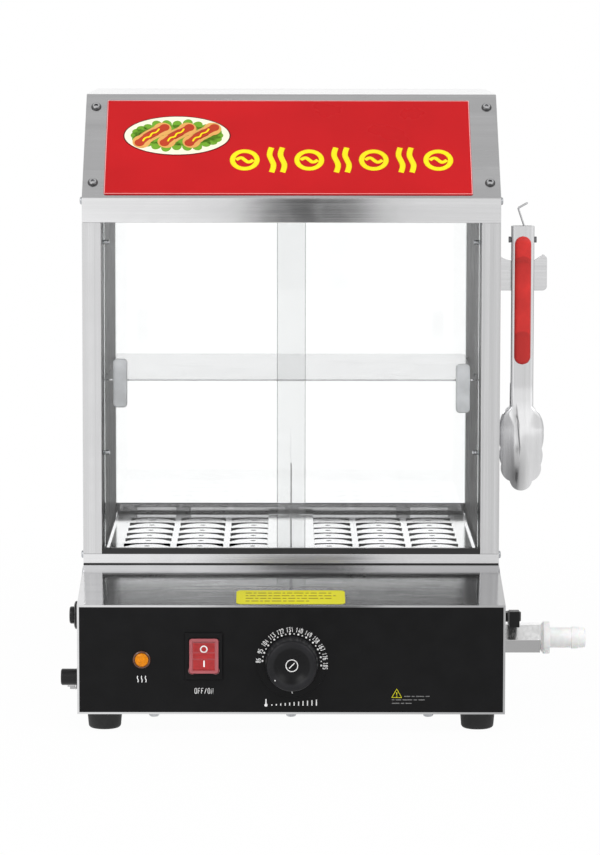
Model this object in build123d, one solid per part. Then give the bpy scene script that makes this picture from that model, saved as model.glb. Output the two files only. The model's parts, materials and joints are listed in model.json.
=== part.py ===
from build123d import *
import math
import os

os.makedirs("parts", exist_ok=True)

# A counter-top hot dog steamer. Millimetres. The origin is on the ground in the middle of
# the four feet: +X to the right of someone facing the doors, +Y to the back, +Z up.

# ---------------------------------------------------------------- driving dimensions
body_width = 365.0
body_depth = 410.0
body_height = 539.0
foot_height = 17.0
sheet = 1.0                     # every folded stainless sheet
gap = 0.3                       # running clearance between pieces that move apart
seat = 0.15                     # clearance of a fixed piece in its hole

# base
panel_height = 94.0             # upright front panel
deck_run = 112.4                # from the front panel back to the cabinet
deck_rise = 19.0                # slope of the deck over that run
hem = 12.0                      # inward flanges of the base sheets
foot_hem = 32.0                 # wider flange that the feet are fixed to
overlay_thickness = 0.5
overlay_border = 1.8
vent_rows = 2
vents_per_row = 5
vent_length = 40.0
vent_width = 4.0
vent_pitch = 24.0

# cabinet
hood_rise = 87.4                # knee under the sign to the roof
bottom_beam_height = 9.0
top_beam_height = 21.6
post_width = 16.5               # thickness of a double side wall
hood_run = 98.0                 # how far the sign face leans back
roof_skirt = 93.0

# controls on the front panel, by height above the panel's lower edge
dial_x = 0.5
dial_height = 44.6
dial_radius = 30.3
dial_thickness = 1.0
knob_radius = 22.9
knob_tip_radius = 20.6
knob_depth = 19.0
knob_dish = 4.0
shaft_radius = 3.0
rocker_x = -74.4
rocker_height = 50.3
rocker_width = 24.8
rocker_radius = 14.85           # the rocker's ends are arcs about its pivot
rocker_tilt = 7.0
rocker_bezel_width = 33.0
rocker_bezel_height = 41.0
rocker_bezel_thickness = 2.0
rocker_body_depth = 24.0
rocker_flat_depth = 7.2         # pivot to the rocker's two ends
rocker_dip_depth = 4.2          # pivot to the middle of its V
rocker_back_depth = 6.0
blade_width = 6.2
blade_thickness = 0.8
blade_length = 9.0
rocker_blade_pitch = 11.0
thermostat_width = 42.0
thermostat_height = 34.0
thermostat_depth = 26.0
thermostat_neck = 7.0
thermostat_neck_radius = 8.0
thermostat_blade_pitch = 12.0
terminal_x = -110.0
terminal_back = 83.0            # behind the front panel
terminal_width = 36.0
terminal_depth = 20.0
terminal_height = 14.0
terminal_hole_radius = 2.6
lamp_x = -127.4
lamp_height = 47.2
lamp_bezel_radius = 7.7
lamp_lens_radius = 5.85
lamp_depth = 26.0

# left wall of the base
left_fittings_back = 45.0       # behind the front panel
reset_height = 78.4             # above the base's lower edge
reset_flange_radius = 12.2
reset_cap_radius = 7.5
reset_collar_out = 4.4
reset_cap_out = 4.1
reset_travel = 2.5
reset_body_radius = 9.0
reset_plunger_radius = 3.0
gland_height = 24.4
gland_radius = 7.15
gland_out = 16.2
gland_bore = 3.9
earth_back = 63.0
earth_height = 14.8
earth_radius = 2.5

# water tank and what is in it
tank_half_width = 152.0
tank_front_gap = 8.6            # behind the door track
tank_back_gap = 35.0            # to the back of the base
tank_depth = 85.0
element_radius = 4.0
element_height = 16.0           # above the tank's floor
element_bend = 24.0
element_reach = 190.0
element_half_width = 96.0
element_inner_half_width = 30.0
element_fitting = 18.0          # across the flats of its two fittings
element_turn = 60.0             # the inner bend behind the tank's front
element_terminal = 22.0         # what stands out of the tank's front
probe_x = 40.0
probe_start = 30.0
probe_length = 90.0
capillary_side = 14.0
capillary_drop = 6.0
capillary_bend = 8.0
probe_height = 32.0             # above the tank's floor
probe_radius = 3.2
capillary_radius = 1.1

# drain on the right wall
drain_back = 15.0               # behind the tank's front
drain_rise = 11.7               # above the tank's floor
drain_lip = 2.5
drain_lip_width = 1.8
pipe_radius = 8.5
pipe_bore = 5.0
valve_across_flats = 24.9
valve_length = 39.7
stem_radius = 4.0
barb_flange_radius = 14.5
barb_flange_thickness = 8.5
barb_radius = 9.0
barb_length = 19.5
barb_ring_radius = 9.75
barb_ring_length = 6.3
barb_tip_length = 6.2
lever_out = 14.9                # from the wall to the lever's stem
lever_width = 9.0
lever_length = 38.0
lever_height = 14.0
lever_hub_radius = 8.0

# sliding doors
glass = 4.0
pane_pitch = 12.0
track_depth = 26.0
track_height = 13.0
track_floor = 2.0
track_step = 2.2                # each leg of the bottom track is lower than the one in front
groove_play = 0.6
pane_width = 177.0
pane_end_gap = 1.5
pane_top_engagement = 8.0
pull_width = 12.3
pull_height = 42.7
pull_thickness = 6.0
pull_inset = 8.2                # from the pane's outer edge to the pull
left_pull_drop = 2.3            # under the shelf's top
right_pull_drop = 5.6

# shelf
shelf_rise = 160.5              # above the cabinet's floor
shelf_thickness = 1.5
shelf_front_gap = 2.0
shelf_back_gap = 19.0
shelf_corner = 4.0
stud_radius = 3.0
stud_length = 8.0
stud_front = 73.6               # behind the shelf's front
stud_back = 15.0                # before the shelf's back
pin_radius = 2.0
pin_length = 6.0
pin_back = 3.5                  # behind the door track
low_pin_drop = 65.2             # under the shelf's top
high_pin_drop = 18.7            # under the opening's top

# perforated trays and the partition
tray_thickness = 1.0
tray_rise = 8.0                 # above the cabinet's floor
tray_side_lip = 4.0
tray_back_gap = 27.0            # to the back of the cabinet
tray_side_gap = 2.2
tray_middle_gap = 0.8
slot_columns = 3
slot_rows = 7
slot_column_pitch = 47.2
slot_row_pitch = 34.6
slot_radius = 19.8              # middle of the arc-shaped slot
slot_width = 4.4
slot_half_angle = 75.0
front_slot_half_angle = 50.0    # shorter, to end before the front hem
slot_first_x = 34.2             # nearest column from the middle of the cabinet
slot_back_gap = 43.6            # arc centres of the last row to the tray's back edge
steam_hole_radius = 2.5
steam_hole_offset = 4.8         # behind the arc's centre
partition_height = 78.0
partition_half_foot = 21.0
partition_end_gap = 3.0

# rear window
rear_window_inset = 12.0        # inner face of the rail to the back of the cabinet
rear_rail_height = 16.3
rear_slot_height = 5.2
rear_slot_top_gap = 3.1
rear_slots = ((-0.878, -0.655), (-0.57, -0.032), (0.048, 0.603), (0.683, 0.901))  # of half the rail
rear_top_rail_drop = 6.0        # below the edge of the roof's skirt
rear_glass_engagement = 8.0

# sign
sign_side_border = 21.75
sign_end_border = 12.6
sign_thickness = 0.8
sign_x = -2.8
sign_low_edge = 3.6             # up the leaning face, from the knee
button_head_radius = 4.5
button_head_height = 2.4
sign_screw_side = 9.1
sign_screw_low = 18.8
sign_screw_top = 16.9

# feet and screws
foot_side = 22.1
foot_inset = 32.0
foot_top_radius = 15.2
foot_bottom_radius = 14.0
foot_round = 3.0
bottom_screw_share = 0.642      # of half the width
bottom_screw_inset = 8.0
pan_head_radius = 4.5
pan_head_height = 3.4
side_screw_inset = 5.6          # behind the cabinet's front
side_screw_radius = 3.4
side_screw_height = 2.0

# tongs and the plate they hang on
tongs_out = 21.0                # from the wall to the tongs' middle
tongs_back = 37.6               # behind the cabinet's front
pivot_drop = 38.3               # under the knee
arm_top = 12.3                  # above the pivot
arm_spread = 8.0                # half the distance over the two webs
arm_width = 20.0
arm_sheet = 1.0
ear_reach = 2.0                 # how far the flanges cross the middle
ear_chamfer = 6.3
flange_top = 3.2                # middle to the flange's edge below the ears
flange_low = 4.5
flange_bend = 113.3             # below the pivot
neck_drop = 147.3
saddle_drop = 18.3              # under the pivot
saddle_play = 0.5
plate_thickness = 1.5
plate_height = 26.7             # of the bracket under its saddle
bracket_reach = 42.7            # from the wall
bracket_flange = 16.0
bracket_round = 4.0
horn_height = 5.2               # over the saddle
bracket_screw_rises = (7.7, 21.7)
bracket_screw_back = 8.0
grip_width = 14.5
grip_above = 3.5                # over the pivot
grip_length = 113.3
grip_thickness = 3.4
grip_round = 2.0
head_radius = 99.0              # of the scoop along the tongs
head_cross_radius = 25.0        # of the scoop across the tongs
head_depth = 12.9
head_drop = 176.5               # the scoop's deepest place under the pivot
head_half_width = 19.7
# Right edge of the scoop from the neck to the tip, as arcs through (x, z) shares of half
# the width about its deepest place; every second point is the middle of an arc.
head_edge = (
    (0.508, 1.482), (0.893, 0.975), (1.0, 0.315), (0.99, -0.091), (0.914, -0.421),
    (0.962, -0.772), (0.878, -1.157), (0.807, -1.655), (0.492, -1.893),
)
head_tip = -2.335               # likewise
tongs_opening = 25.0
ring_wire = 0.8
ring_play = 0.25
ring_legs = (1.3, 4.7)          # behind the tongs' middle
pivot_pin_radius = 2.0
pin_hole = pivot_pin_radius + 0.06

# ---------------------------------------------------------------- derived places
half_width = body_width / 2
front_y = -body_depth / 2
back_y = body_depth / 2
panel_bottom = foot_height
panel_top = panel_bottom + panel_height
floor_z = panel_top + deck_rise
cabinet_front = front_y + deck_run
knee_z = body_height - hood_rise
opening_bottom = floor_z + bottom_beam_height
opening_top = knee_z - top_beam_height
shelf_top = floor_z + shelf_rise
tray_top = floor_z + tray_rise
tray_back = back_y - tray_back_gap
roof_front = cabinet_front + hood_run
hood_length = math.hypot(hood_run, hood_rise)
hood_lean = sheet * hood_length / hood_rise
tongs_x = half_width + tongs_out
tongs_y = cabinet_front + tongs_back
pivot_z = knee_z - pivot_drop
saddle_z = pivot_z - saddle_drop
neck_z = pivot_z - neck_drop
left_fittings_y = front_y + left_fittings_back
reset_z = panel_bottom + reset_height
gland_z = panel_bottom + gland_height
earth_y = front_y + earth_back
earth_z = panel_bottom + earth_height
roof_inner = (roof_front + hood_lean - sheet * hood_run / hood_rise, body_height - sheet)
knee_inner = (cabinet_front + sheet, knee_z - (hood_lean - sheet) * hood_rise / hood_run)
liner_x = half_width - post_width
rim_z = floor_z + sheet
tank_floor = floor_z - tank_depth
track_front = cabinet_front + sheet
track_back = track_front + track_depth
tank_front = track_back + tank_front_gap
tank_back = back_y - tank_back_gap
shelf_front = track_back + shelf_front_gap
shelf_back = back_y - sheet - shelf_back_gap
drain_y = tank_front + drain_back
drain_z = tank_floor + drain_rise
lever_x = half_width + lever_out
front_pane_y = track_front + track_depth / 2 - pane_pitch / 2
rear_pane_y = front_pane_y + pane_pitch
pane_bottom = rim_z + track_floor + gap
pane_top = opening_top + pane_top_engagement
dial_z = panel_bottom + dial_height
rocker_z = panel_bottom + rocker_height
lamp_z = panel_bottom + lamp_height
overlay_face = front_y - overlay_thickness
rear_rail_y = back_y - rear_window_inset
skirt_z = body_height - roof_skirt
element_z = tank_floor + element_height
probe_z = tank_floor + probe_height
valve_top = drain_z + valve_across_flats / 2
rocker_pivot_y = overlay_face + 1.5


# ---------------------------------------------------------------- helpers
def block(x0, x1, y0, y1, z0, z1):
    """Box between two corners."""
    return Pos((x0 + x1) / 2, (y0 + y1) / 2, (z0 + z1) / 2) * Box(x1 - x0, y1 - y0, z1 - z0)


def rod_x(x0, x1, y, z, radius):
    return Pos((x0 + x1) / 2, y, z) * Rot(0, 90, 0) * Cylinder(radius, x1 - x0)


def rod_y(y0, y1, x, z, radius):
    return Pos(x, (y0 + y1) / 2, z) * Rot(90, 0, 0) * Cylinder(radius, y1 - y0)


def rod_z(z0, z1, x, y, radius):
    return Pos(x, y, (z0 + z1) / 2) * Cylinder(radius, z1 - z0)


def side_profile(points, x0, x1):
    """Outline of (y, z) points, closed, as thick as from x0 to x1."""
    face = make_face(Polyline(*points, close=True))
    return extrude(Plane.YZ.offset(x0) * face, x1 - x0, dir=(1, 0, 0))


def front_profile(points, y0, y1):
    """Outline of (x, z) points, closed, as thick as from y0 to y1."""
    face = make_face(Polyline(*points, close=True))
    return extrude(Plane.XZ.offset(-y0) * face, y1 - y0, dir=(0, 1, 0))


def ribbon(path, thickness):
    """Outline of a folded sheet: an open path and its mitred copy to the left."""
    directions = []
    for (ax, ay), (bx, by) in zip(path, path[1:]):
        length = math.hypot(bx - ax, by - ay)
        directions.append(((bx - ax) / length, (by - ay) / length))
    inner = []
    for i, (px, py) in enumerate(path):
        before = directions[max(i - 1, 0)]
        after = directions[min(i, len(directions) - 1)]
        nx, ny = -before[1] - after[1], before[0] + after[0]
        scale = thickness / (nx * -before[1] + ny * before[0])
        inner.append((px + nx * scale, py + ny * scale))
    return list(path) + inner[::-1]


def turned_x(profile, x, y, z):
    """Solid turned about an axis along +X through (y, z); profile is (along, radius)."""
    face = make_face(Polyline(*profile, close=True))
    return Pos(x, y, z) * revolve(Plane.XY * face, Axis.X)


def turned_front(profile, x, z):
    """Solid turned about an axis along -Y, from the overlay's face; profile is (radius, out)."""
    face = make_face(Polyline(*profile, close=True))
    return Pos(x, overlay_face, z) * Rot(90, 0, 0) * revolve(Plane.XZ * face, Axis.Z)


def hex_prism_x(x0, x1, y, z, across_flats):
    """Hexagonal bar along +X with a corner to the front."""
    outline = RegularPolygon(across_flats / 2, 6, major_radius=False)
    return extrude(Plane.YZ.offset(x0) * Pos(y, z) * outline, x1 - x0, dir=(1, 0, 0))


def pan_head(radius, height):
    """Domed screw head that stands on the XY plane."""
    points = [
        (0, 0), (radius, 0), (radius, height * 0.45), (radius * 0.86, height * 0.8),
        (radius * 0.55, height * 0.95), (0, height),
    ]
    return revolve(Plane.XZ * make_face(Polyline(*points, close=True)), Axis.Z)


hood_plane = Plane(
    origin=(0, cabinet_front, knee_z), x_dir=(1, 0, 0), z_dir=(0, -hood_rise, hood_run)
)


# ---------------------------------------------------------------- base
def base_front_panel():
    """Front panel, bottom hem and sloping deck, folded from one sheet."""
    path = [
        (front_y + hem, panel_bottom),
        (front_y, panel_bottom),
        (front_y, panel_top),
        (cabinet_front, floor_z),
        (cabinet_front + hem, floor_z),
    ]
    body = side_profile(ribbon(path[::-1], sheet), -half_width, half_width)
    body -= rod_y(front_y - 1, front_y + 3, dial_x, dial_z, shaft_radius + seat + gap)
    body -= rod_y(front_y - 1, front_y + 3, lamp_x, lamp_z, lamp_lens_radius - 1)
    cut_w, cut_h = rocker_bezel_width / 2 - 2, rocker_bezel_height / 2 - 2
    body -= block(
        rocker_x - cut_w, rocker_x + cut_w, front_y - 1, front_y + 3, rocker_z - cut_h, rocker_z + cut_h
    )
    return body


def panel_overlay():
    """Black printed film on the front panel, inside a narrow bright border."""
    x = half_width - overlay_border
    z0, z1 = panel_bottom + overlay_border, panel_top - overlay_border
    film = block(-x, x, overlay_face, front_y, z0, z1)
    film -= rod_y(front_y - 1, front_y + 1, dial_x, dial_z, shaft_radius + seat + gap)
    film -= rod_y(front_y - 1, front_y + 1, lamp_x, lamp_z, lamp_lens_radius - 1)
    cut_w, cut_h = rocker_bezel_width / 2 - 2, rocker_bezel_height / 2 - 2
    film -= block(
        rocker_x - cut_w, rocker_x + cut_w, front_y - 1, front_y + 1, rocker_z - cut_h, rocker_z + cut_h
    )
    return film


def base_side(side):
    """Flat side of the base with a wide hem along the bottom for the feet."""
    slope = deck_rise / deck_run
    drop = sheet * math.hypot(1, slope)
    outline = [
        (front_y + sheet, panel_bottom + sheet),
        (front_y + hem, panel_bottom + sheet),
        (front_y + hem, panel_bottom),
        (back_y, panel_bottom),
        (back_y, floor_z),
        (cabinet_front + hem, floor_z),
        (cabinet_front + hem, floor_z - sheet),
        (cabinet_front, floor_z - drop),
        (front_y + sheet, panel_top - drop + sheet * slope),
    ]
    x0, x1 = sorted((side * (half_width - sheet), side * half_width))
    wall = side_profile(outline, x0, x1)
    h0, h1 = sorted((side * (half_width - sheet), side * (half_width - foot_hem)))
    wall += block(h0, h1, front_y + hem, back_y - hem, panel_bottom, panel_bottom + sheet)
    if side > 0:
        return wall - rod_x(x0 - 1, x1 + 1, drain_y, drain_z, pipe_radius + seat)
    wall -= rod_x(x0 - 1, x1 + 1, left_fittings_y, reset_z, reset_body_radius + seat)
    wall -= rod_x(x0 - 1, x1 + 1, left_fittings_y, gland_z, gland_radius - 1 + seat)
    return wall - rod_x(x0 - 1, x1 + 1, earth_y, earth_z, earth_radius + seat)


def base_back_panel():
    """Back of the base with hems top and bottom."""
    x = half_width - sheet
    path = [
        (back_y - hem, panel_bottom),
        (back_y, panel_bottom),
        (back_y, floor_z),
        (back_y - hem, floor_z),
    ]
    return side_profile(ribbon(path, sheet), -x, x)


def bottom_plate():
    """Vented floor of the base, on the hems of the other sheets."""
    x = half_width - sheet - seat
    z0 = panel_bottom + sheet
    plate = block(-x, x, front_y + 2 * sheet, back_y - 2 * sheet, z0, z0 + sheet)
    for row in range(vent_rows):
        y = vent_length * (2 * row - vent_rows + 1)
        for i in range(vents_per_row):
            vx = vent_pitch * (i - (vents_per_row - 1) / 2)
            plate -= block(
                vx - vent_width / 2, vx + vent_width / 2,
                y - vent_length / 2, y + vent_length / 2, z0 - 1, z0 + 2,
            )
    return plate


def feet():
    """Four tapered rubber feet with a rounded bottom edge."""
    profile = make_face(
        Line((0, 0), (foot_bottom_radius - foot_round, 0))
        + ThreePointArc(
            (foot_bottom_radius - foot_round, 0),
            (foot_bottom_radius - 0.3 * foot_round, 0.3 * foot_round),
            (foot_bottom_radius, foot_round),
        )
        + Polyline(
            (foot_bottom_radius, foot_round), (foot_top_radius, foot_height), (0, foot_height), (0, 0)
        )
    )
    foot = revolve(Plane.XZ * profile, Axis.Z)
    x, y = half_width - foot_side, -front_y - foot_inset
    return Compound([Pos(sx * x, sy * y, 0) * foot for sx in (-1, 1) for sy in (-1, 1)])


def panel_screws():
    """Pan heads: six under the base, two on each side wall, two in the tongs' bracket."""
    under = Rot(180, 0, 0) * pan_head(pan_head_radius, pan_head_height)
    y = -front_y - bottom_screw_inset
    xs = [share * bottom_screw_share * half_width for share in (-1, 0, 1)]
    screws = [Pos(x, sy * y, panel_bottom) * under for x in xs for sy in (-1, 1)]
    head = pan_head(side_screw_radius, side_screw_height)
    y = cabinet_front + side_screw_inset
    for side in (-1, 1):
        for z in (opening_bottom - 1, knee_z - 2.8):
            screws.append(Pos(side * half_width, y, z) * Rot(0, 90 * side, 0) * head)
    x = half_width + plate_thickness
    for rise in bracket_screw_rises:
        z = saddle_z - plate_height + rise
        screws.append(Pos(x, tongs_y + bracket_screw_back, z) * Rot(0, 90, 0) * head)
    return Compound(screws)


# ---------------------------------------------------------------- controls
def dial_plate():
    """Fixed numbered disc behind the knob, with a chamfered rim."""
    rim = dial_radius - dial_thickness
    hole = shaft_radius + seat + gap
    points = [(hole, 0), (dial_radius, 0), (rim, dial_thickness), (hole, dial_thickness)]
    return turned_front(points, dial_x, dial_z)


def thermostat_knob():
    """Round knob with a tapered side, a rolled rim and a dished face."""
    back = dial_thickness + gap
    tip = back + knob_depth
    socket = shaft_radius
    points = [
        (0, back + knob_depth * 0.6), (socket, back + knob_depth * 0.6), (socket, back),
        (knob_radius, back), (knob_radius, back + 2), (knob_radius - 0.9, back + 3),
        (knob_tip_radius, tip - 2), (knob_tip_radius - 0.6, tip - 0.6), (knob_tip_radius - 2, tip),
        (knob_tip_radius - 4, tip - 0.4), (knob_tip_radius * 0.5, tip - knob_dish * 0.8),
        (0, tip - knob_dish),
    ]
    return turned_front(points, dial_x, dial_z)


def thermostat_shaft():
    """Steel shaft that the knob is pushed on; it turns in the thermostat."""
    inner = front_y + sheet + thermostat_neck - 1
    out = overlay_face - dial_thickness - gap - knob_depth * 0.6
    return rod_y(out, inner, dial_x, dial_z, shaft_radius)


def blade(x, y0, z):
    """Flat push-on terminal that points to the back."""
    w, t = blade_width / 2, blade_thickness / 2
    return block(x - w, x + w, y0, y0 + blade_length, z - t, z + t)


def thermostat_body():
    """Capillary thermostat behind the panel, with its neck in front and blades behind."""
    y0 = front_y + sheet
    y1 = y0 + thermostat_neck
    y2 = y1 + thermostat_depth
    w, h = thermostat_width / 2, thermostat_height / 2
    body = rod_y(y0, y1, dial_x, dial_z, thermostat_neck_radius)
    body += block(dial_x - w, dial_x + w, y1, y2, dial_z - h, dial_z + h)
    body -= rod_y(y0 - 1, y1 - 1 + gap, dial_x, dial_z, shaft_radius + 0.05)
    for i in (-1, 0, 1):
        body += blade(dial_x + i * thermostat_blade_pitch, y2, dial_z + h / 2)
    return body


def thermostat_probe():
    """Sensing bulb low in the tank and the capillary tube to the thermostat."""
    y_case = front_y + sheet + thermostat_neck + thermostat_depth
    y_bend = y_case + 3 * capillary_bend
    x, z = dial_x + capillary_side, dial_z - capillary_drop
    y_bulb = tank_front + probe_start
    route = FilletPolyline(
        (x, y_case, z), (x, y_bend, z), (probe_x, y_bend, probe_z), (probe_x, y_bulb, probe_z),
        radius=capillary_bend,
    )
    start = Plane(origin=route @ 0, z_dir=route % 0)
    tube = sweep(start * Circle(capillary_radius), path=route)
    return tube + rod_y(y_bulb, y_bulb + probe_length, probe_x, probe_z, probe_radius)


def rocker_housing():
    """Switch body with its bezel, an arc-shaped cavity for the rocker, and three blades."""
    w, h = rocker_bezel_width / 2, rocker_bezel_height / 2
    face = overlay_face - rocker_bezel_thickness
    bezel = block(rocker_x - w, rocker_x + w, face, overlay_face, rocker_z - h, rocker_z + h)
    bezel = chamfer(bezel.faces().sort_by(Axis.Y)[0].edges(), 1.2)
    body = block(
        rocker_x - w + 2 + seat, rocker_x + w - 2 - seat, overlay_face,
        overlay_face + rocker_body_depth, rocker_z - h + 2 + seat, rocker_z + h - 2 - seat,
    )
    shell = bezel + body
    half = rocker_width / 2 + gap
    shell -= rod_x(rocker_x - half, rocker_x + half, rocker_pivot_y, rocker_z, rocker_radius + gap)
    for i in (-1, 0, 1):
        z = rocker_z + i * rocker_blade_pitch
        shell += blade(rocker_x, overlay_face + rocker_body_depth, z)
    return shell


def rocker_button():
    """Rocker turned about its pivot, with a hollow V face; its upper end is pressed in."""
    half = rocker_width / 2
    r = rocker_radius
    barrel = rod_x(rocker_x - half, rocker_x + half, 0, 0, r)
    end, dip, back = rocker_flat_depth, rocker_dip_depth, rocker_back_depth
    keep = side_profile(
        [(-end, -r), (-dip, 0), (-end, r), (back, r), (back, -r)], rocker_x - half, rocker_x + half
    )
    rocker = barrel & keep
    return Pos(0, rocker_pivot_y, rocker_z) * Rot(-rocker_tilt, 0, 0) * rocker


def lamp_bezel():
    """Black ring and body of the pilot lamp."""
    r = lamp_bezel_radius
    ring = turned_front([(lamp_lens_radius, 0), (r, 0), (r, 1.2), (r - 1, 2.0), (lamp_lens_radius, 2.0)],
                        lamp_x, lamp_z)
    neck = lamp_lens_radius - 1 - seat
    barrel = rod_y(overlay_face, front_y + lamp_depth, lamp_x, lamp_z, neck)
    nut = rod_y(front_y + sheet, front_y + sheet + 4, lamp_x, lamp_z, r)
    return ring + rod_y(overlay_face - 0.6, overlay_face, lamp_x, lamp_z, r) + barrel + nut


def lamp_lens():
    """Domed amber lens inside the ring."""
    r = lamp_lens_radius - seat
    return turned_front([(0, 0.6), (r, 0.6), (r, 2.4), (r * 0.75, 3.4), (r * 0.4, 3.9), (0, 4.1)],
                        lamp_x, lamp_z)


# ---------------------------------------------------------------- left wall fittings
def reset_housing():
    """Over-heat cut-out: a flanged collar outside and its body inside the wall."""
    wall = -half_width
    r, out = reset_flange_radius, reset_collar_out
    y, z = left_fittings_y, reset_z
    body = turned_x([(0, 0), (0, r), (-out + 1, r), (-out, r - 2), (-out, 0)], wall, y, z)
    body += rod_x(wall, wall + 26, y, z, reset_body_radius)
    floor = wall - out + reset_travel + 2 * gap
    body -= rod_x(wall - out - 1, floor, y, z, reset_cap_radius + gap)
    return body - rod_x(wall - out, wall + 10, y, z, reset_plunger_radius + gap)


def reset_button():
    """Black reset cap on its plunger; the back of the cap is just inside the collar."""
    wall = -half_width
    back = wall - reset_collar_out + gap
    tip = wall - reset_collar_out - reset_cap_out
    r = reset_cap_radius
    points = [(back, 0), (back, r), (tip + 1, r), (tip, r - 1), (tip, 0)]
    cap = turned_x(points, 0, left_fittings_y, reset_z)
    end = wall + 10 - reset_travel - 2 * gap
    return cap + rod_x(back, end, left_fittings_y, reset_z, reset_plunger_radius)


def cable_gland():
    """Black gland with a lock nut; its bore is for the supply cord."""
    wall = -half_width
    r = gland_radius
    out = -gland_out
    points = [(0, 0), (0, r + 1.7), (-2.4, r + 1.7), (-2.4, r), (out + 1, r), (out, r - 1), (out, 0)]
    body = turned_x(points, wall, left_fittings_y, gland_z)
    body += rod_x(wall, wall + 11, left_fittings_y, gland_z, r - 1)
    body += hex_prism_x(wall + sheet, wall + sheet + 5, left_fittings_y, gland_z, 18)
    return body - rod_x(wall + out - 1, wall + 12, left_fittings_y, gland_z, gland_bore)


def earth_stud():
    """Plated earth bolt with two nuts outside the wall."""
    wall = -half_width
    bolt = rod_x(wall - 12, wall + 10, earth_y, earth_z, earth_radius)
    bolt += hex_prism_x(wall - 4, wall, earth_y, earth_z, 8)
    return bolt + hex_prism_x(wall - 9.5, wall - 5, earth_y, earth_z, 8)


# ---------------------------------------------------------------- tank
def water_tank():
    """Open water tank with a wide rim that lies on the base."""
    x, t = tank_half_width, sheet
    tank = block(-x - t, x + t, tank_front - t, tank_back + t, tank_floor - t, rim_z)
    rim_x = liner_x + sheet
    tank += block(-rim_x, rim_x, track_front, back_y - sheet, floor_z, rim_z)
    tank -= block(-x, x, tank_front, tank_back, tank_floor, rim_z + 1)
    tank -= rod_x(x - 1, x + t + 1, drain_y, drain_z, pipe_radius + seat)
    y0, y1 = tank_front - t - 1, tank_front + 1
    for ex in (-element_half_width, element_half_width):
        tank -= rod_y(y0, y1, ex, element_z, element_radius + seat)
    return tank - rod_y(y0, y1, probe_x, probe_z, capillary_radius + seat)


def heating_element():
    """Tubular element in an M-shaped loop, with a hexagonal fitting outside each hole."""
    w, back = element_half_width, tank_front + element_reach
    inner, turn = element_inner_half_width, tank_front + element_turn
    start, z = tank_front - element_terminal, element_z
    route = FilletPolyline(
        (-w, start, z), (-w, back, z), (-inner, back, z), (-inner, turn, z),
        (inner, turn, z), (inner, back, z), (w, back, z), (w, start, z), radius=element_bend,
    )
    element = sweep(Plane(origin=route @ 0, z_dir=route % 0) * Circle(element_radius), path=route)
    wall = tank_front - sheet
    for ex in (-w, w):
        outline = Pos(ex, z) * RegularPolygon(element_fitting / 2, 6, major_radius=False)
        element += extrude(Plane.XZ.offset(-wall) * outline, 6, dir=(0, -1, 0))
    return element


def terminal_block():
    """Three-way terminal block on the vented floor."""
    z0 = panel_bottom + 2 * sheet
    y = front_y + terminal_back
    w, d = terminal_width / 2, terminal_depth / 2
    body = block(terminal_x - w, terminal_x + w, y - d, y + d, z0, z0 + terminal_height)
    for i in (-1, 0, 1):
        x = terminal_x + i * terminal_width / 3
        body -= rod_z(z0 + terminal_height / 2, z0 + terminal_height + 1, x, y, terminal_hole_radius)
    return body


# ---------------------------------------------------------------- drain
def drain_pipe():
    """Outlet pipe through the tank's wall, flanged inside the tank."""
    x0, x1 = tank_half_width - drain_lip, half_width
    pipe = rod_x(x0, x1, drain_y, drain_z, pipe_radius)
    pipe += rod_x(x0, tank_half_width, drain_y, drain_z, pipe_radius + drain_lip_width)
    return pipe - rod_x(x0 - 1, x1 + 1, drain_y, drain_z, pipe_bore)


def valve_body():
    """Hexagonal ball-valve body with a stem boss for the lever."""
    body = hex_prism_x(half_width, half_width + valve_length, drain_y, drain_z, valve_across_flats)
    return body + rod_z(drain_z, valve_top + 6, lever_x, drain_y, stem_radius)


def valve_lever():
    """Quarter-turn lever, closed when it points to the front."""
    z0 = drain_z + barb_flange_radius + 2 * gap
    hub = rod_z(z0, z0 + 8, lever_x, drain_y, lever_hub_radius)
    tip_y = drain_y - lever_length
    w = lever_width / 2
    arm = side_profile(
        [(drain_y, z0), (tip_y, z0), (tip_y, z0 + lever_height), (tip_y + 12, z0 + lever_height),
         (drain_y - 4, z0 + 8), (drain_y, z0 + 8)],
        lever_x - w, lever_x + w,
    )
    return hub + arm - rod_z(z0 - 1, valve_top + 6 + gap, lever_x, drain_y, stem_radius + 0.06)


def hose_barb():
    """White hose tail: a cone, a flange, a smooth barrel and a stepped tip."""
    cone = 2.0
    f0 = cone
    f1 = f0 + barb_flange_thickness - 2
    b1 = f1 + barb_length
    r1 = b1 + barb_ring_length
    t1 = r1 + barb_tip_length
    rf, rb, rr = barb_flange_radius, barb_radius, barb_ring_radius
    points = [
        (0, pipe_bore), (0, rb + 1.5), (f0, rf - 1.5), (f0 + 1, rf), (f1, rf), (f1, rb),
        (b1, rb), (b1, rr), (r1, rr), (r1, rb), (t1 - 1, rb), (t1, rb - 1), (t1, pipe_bore),
    ]
    return turned_x(points, half_width + valve_length, drain_y, drain_z)


# ---------------------------------------------------------------- cabinet shell
def side_skin(side):
    """Outer side sheet of the cabinet, with returns to the front, under the sign and behind."""
    outline = [
        (cabinet_front + sheet, floor_z), (back_y, floor_z), (back_y, skirt_z),
        (back_y - sheet, skirt_z), (back_y - sheet, body_height - sheet), roof_inner, knee_inner,
    ]
    x0, x1 = sorted((side * (half_width - sheet), side * half_width))
    skin = side_profile(outline, x0, x1)
    r0, r1 = sorted((side * liner_x, side * half_width))
    skin += block(r0, r1, cabinet_front, cabinet_front + sheet, opening_bottom, opening_top)
    skin += block(r0, r1, back_y - sheet, back_y, floor_z, skirt_z)
    flange = Rectangle(post_width, hood_length - 8)
    middle = hood_plane * Pos(side * (half_width - post_width / 2), hood_length / 2, -2 * sheet)
    return skin + extrude(middle * flange, sheet)


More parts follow.
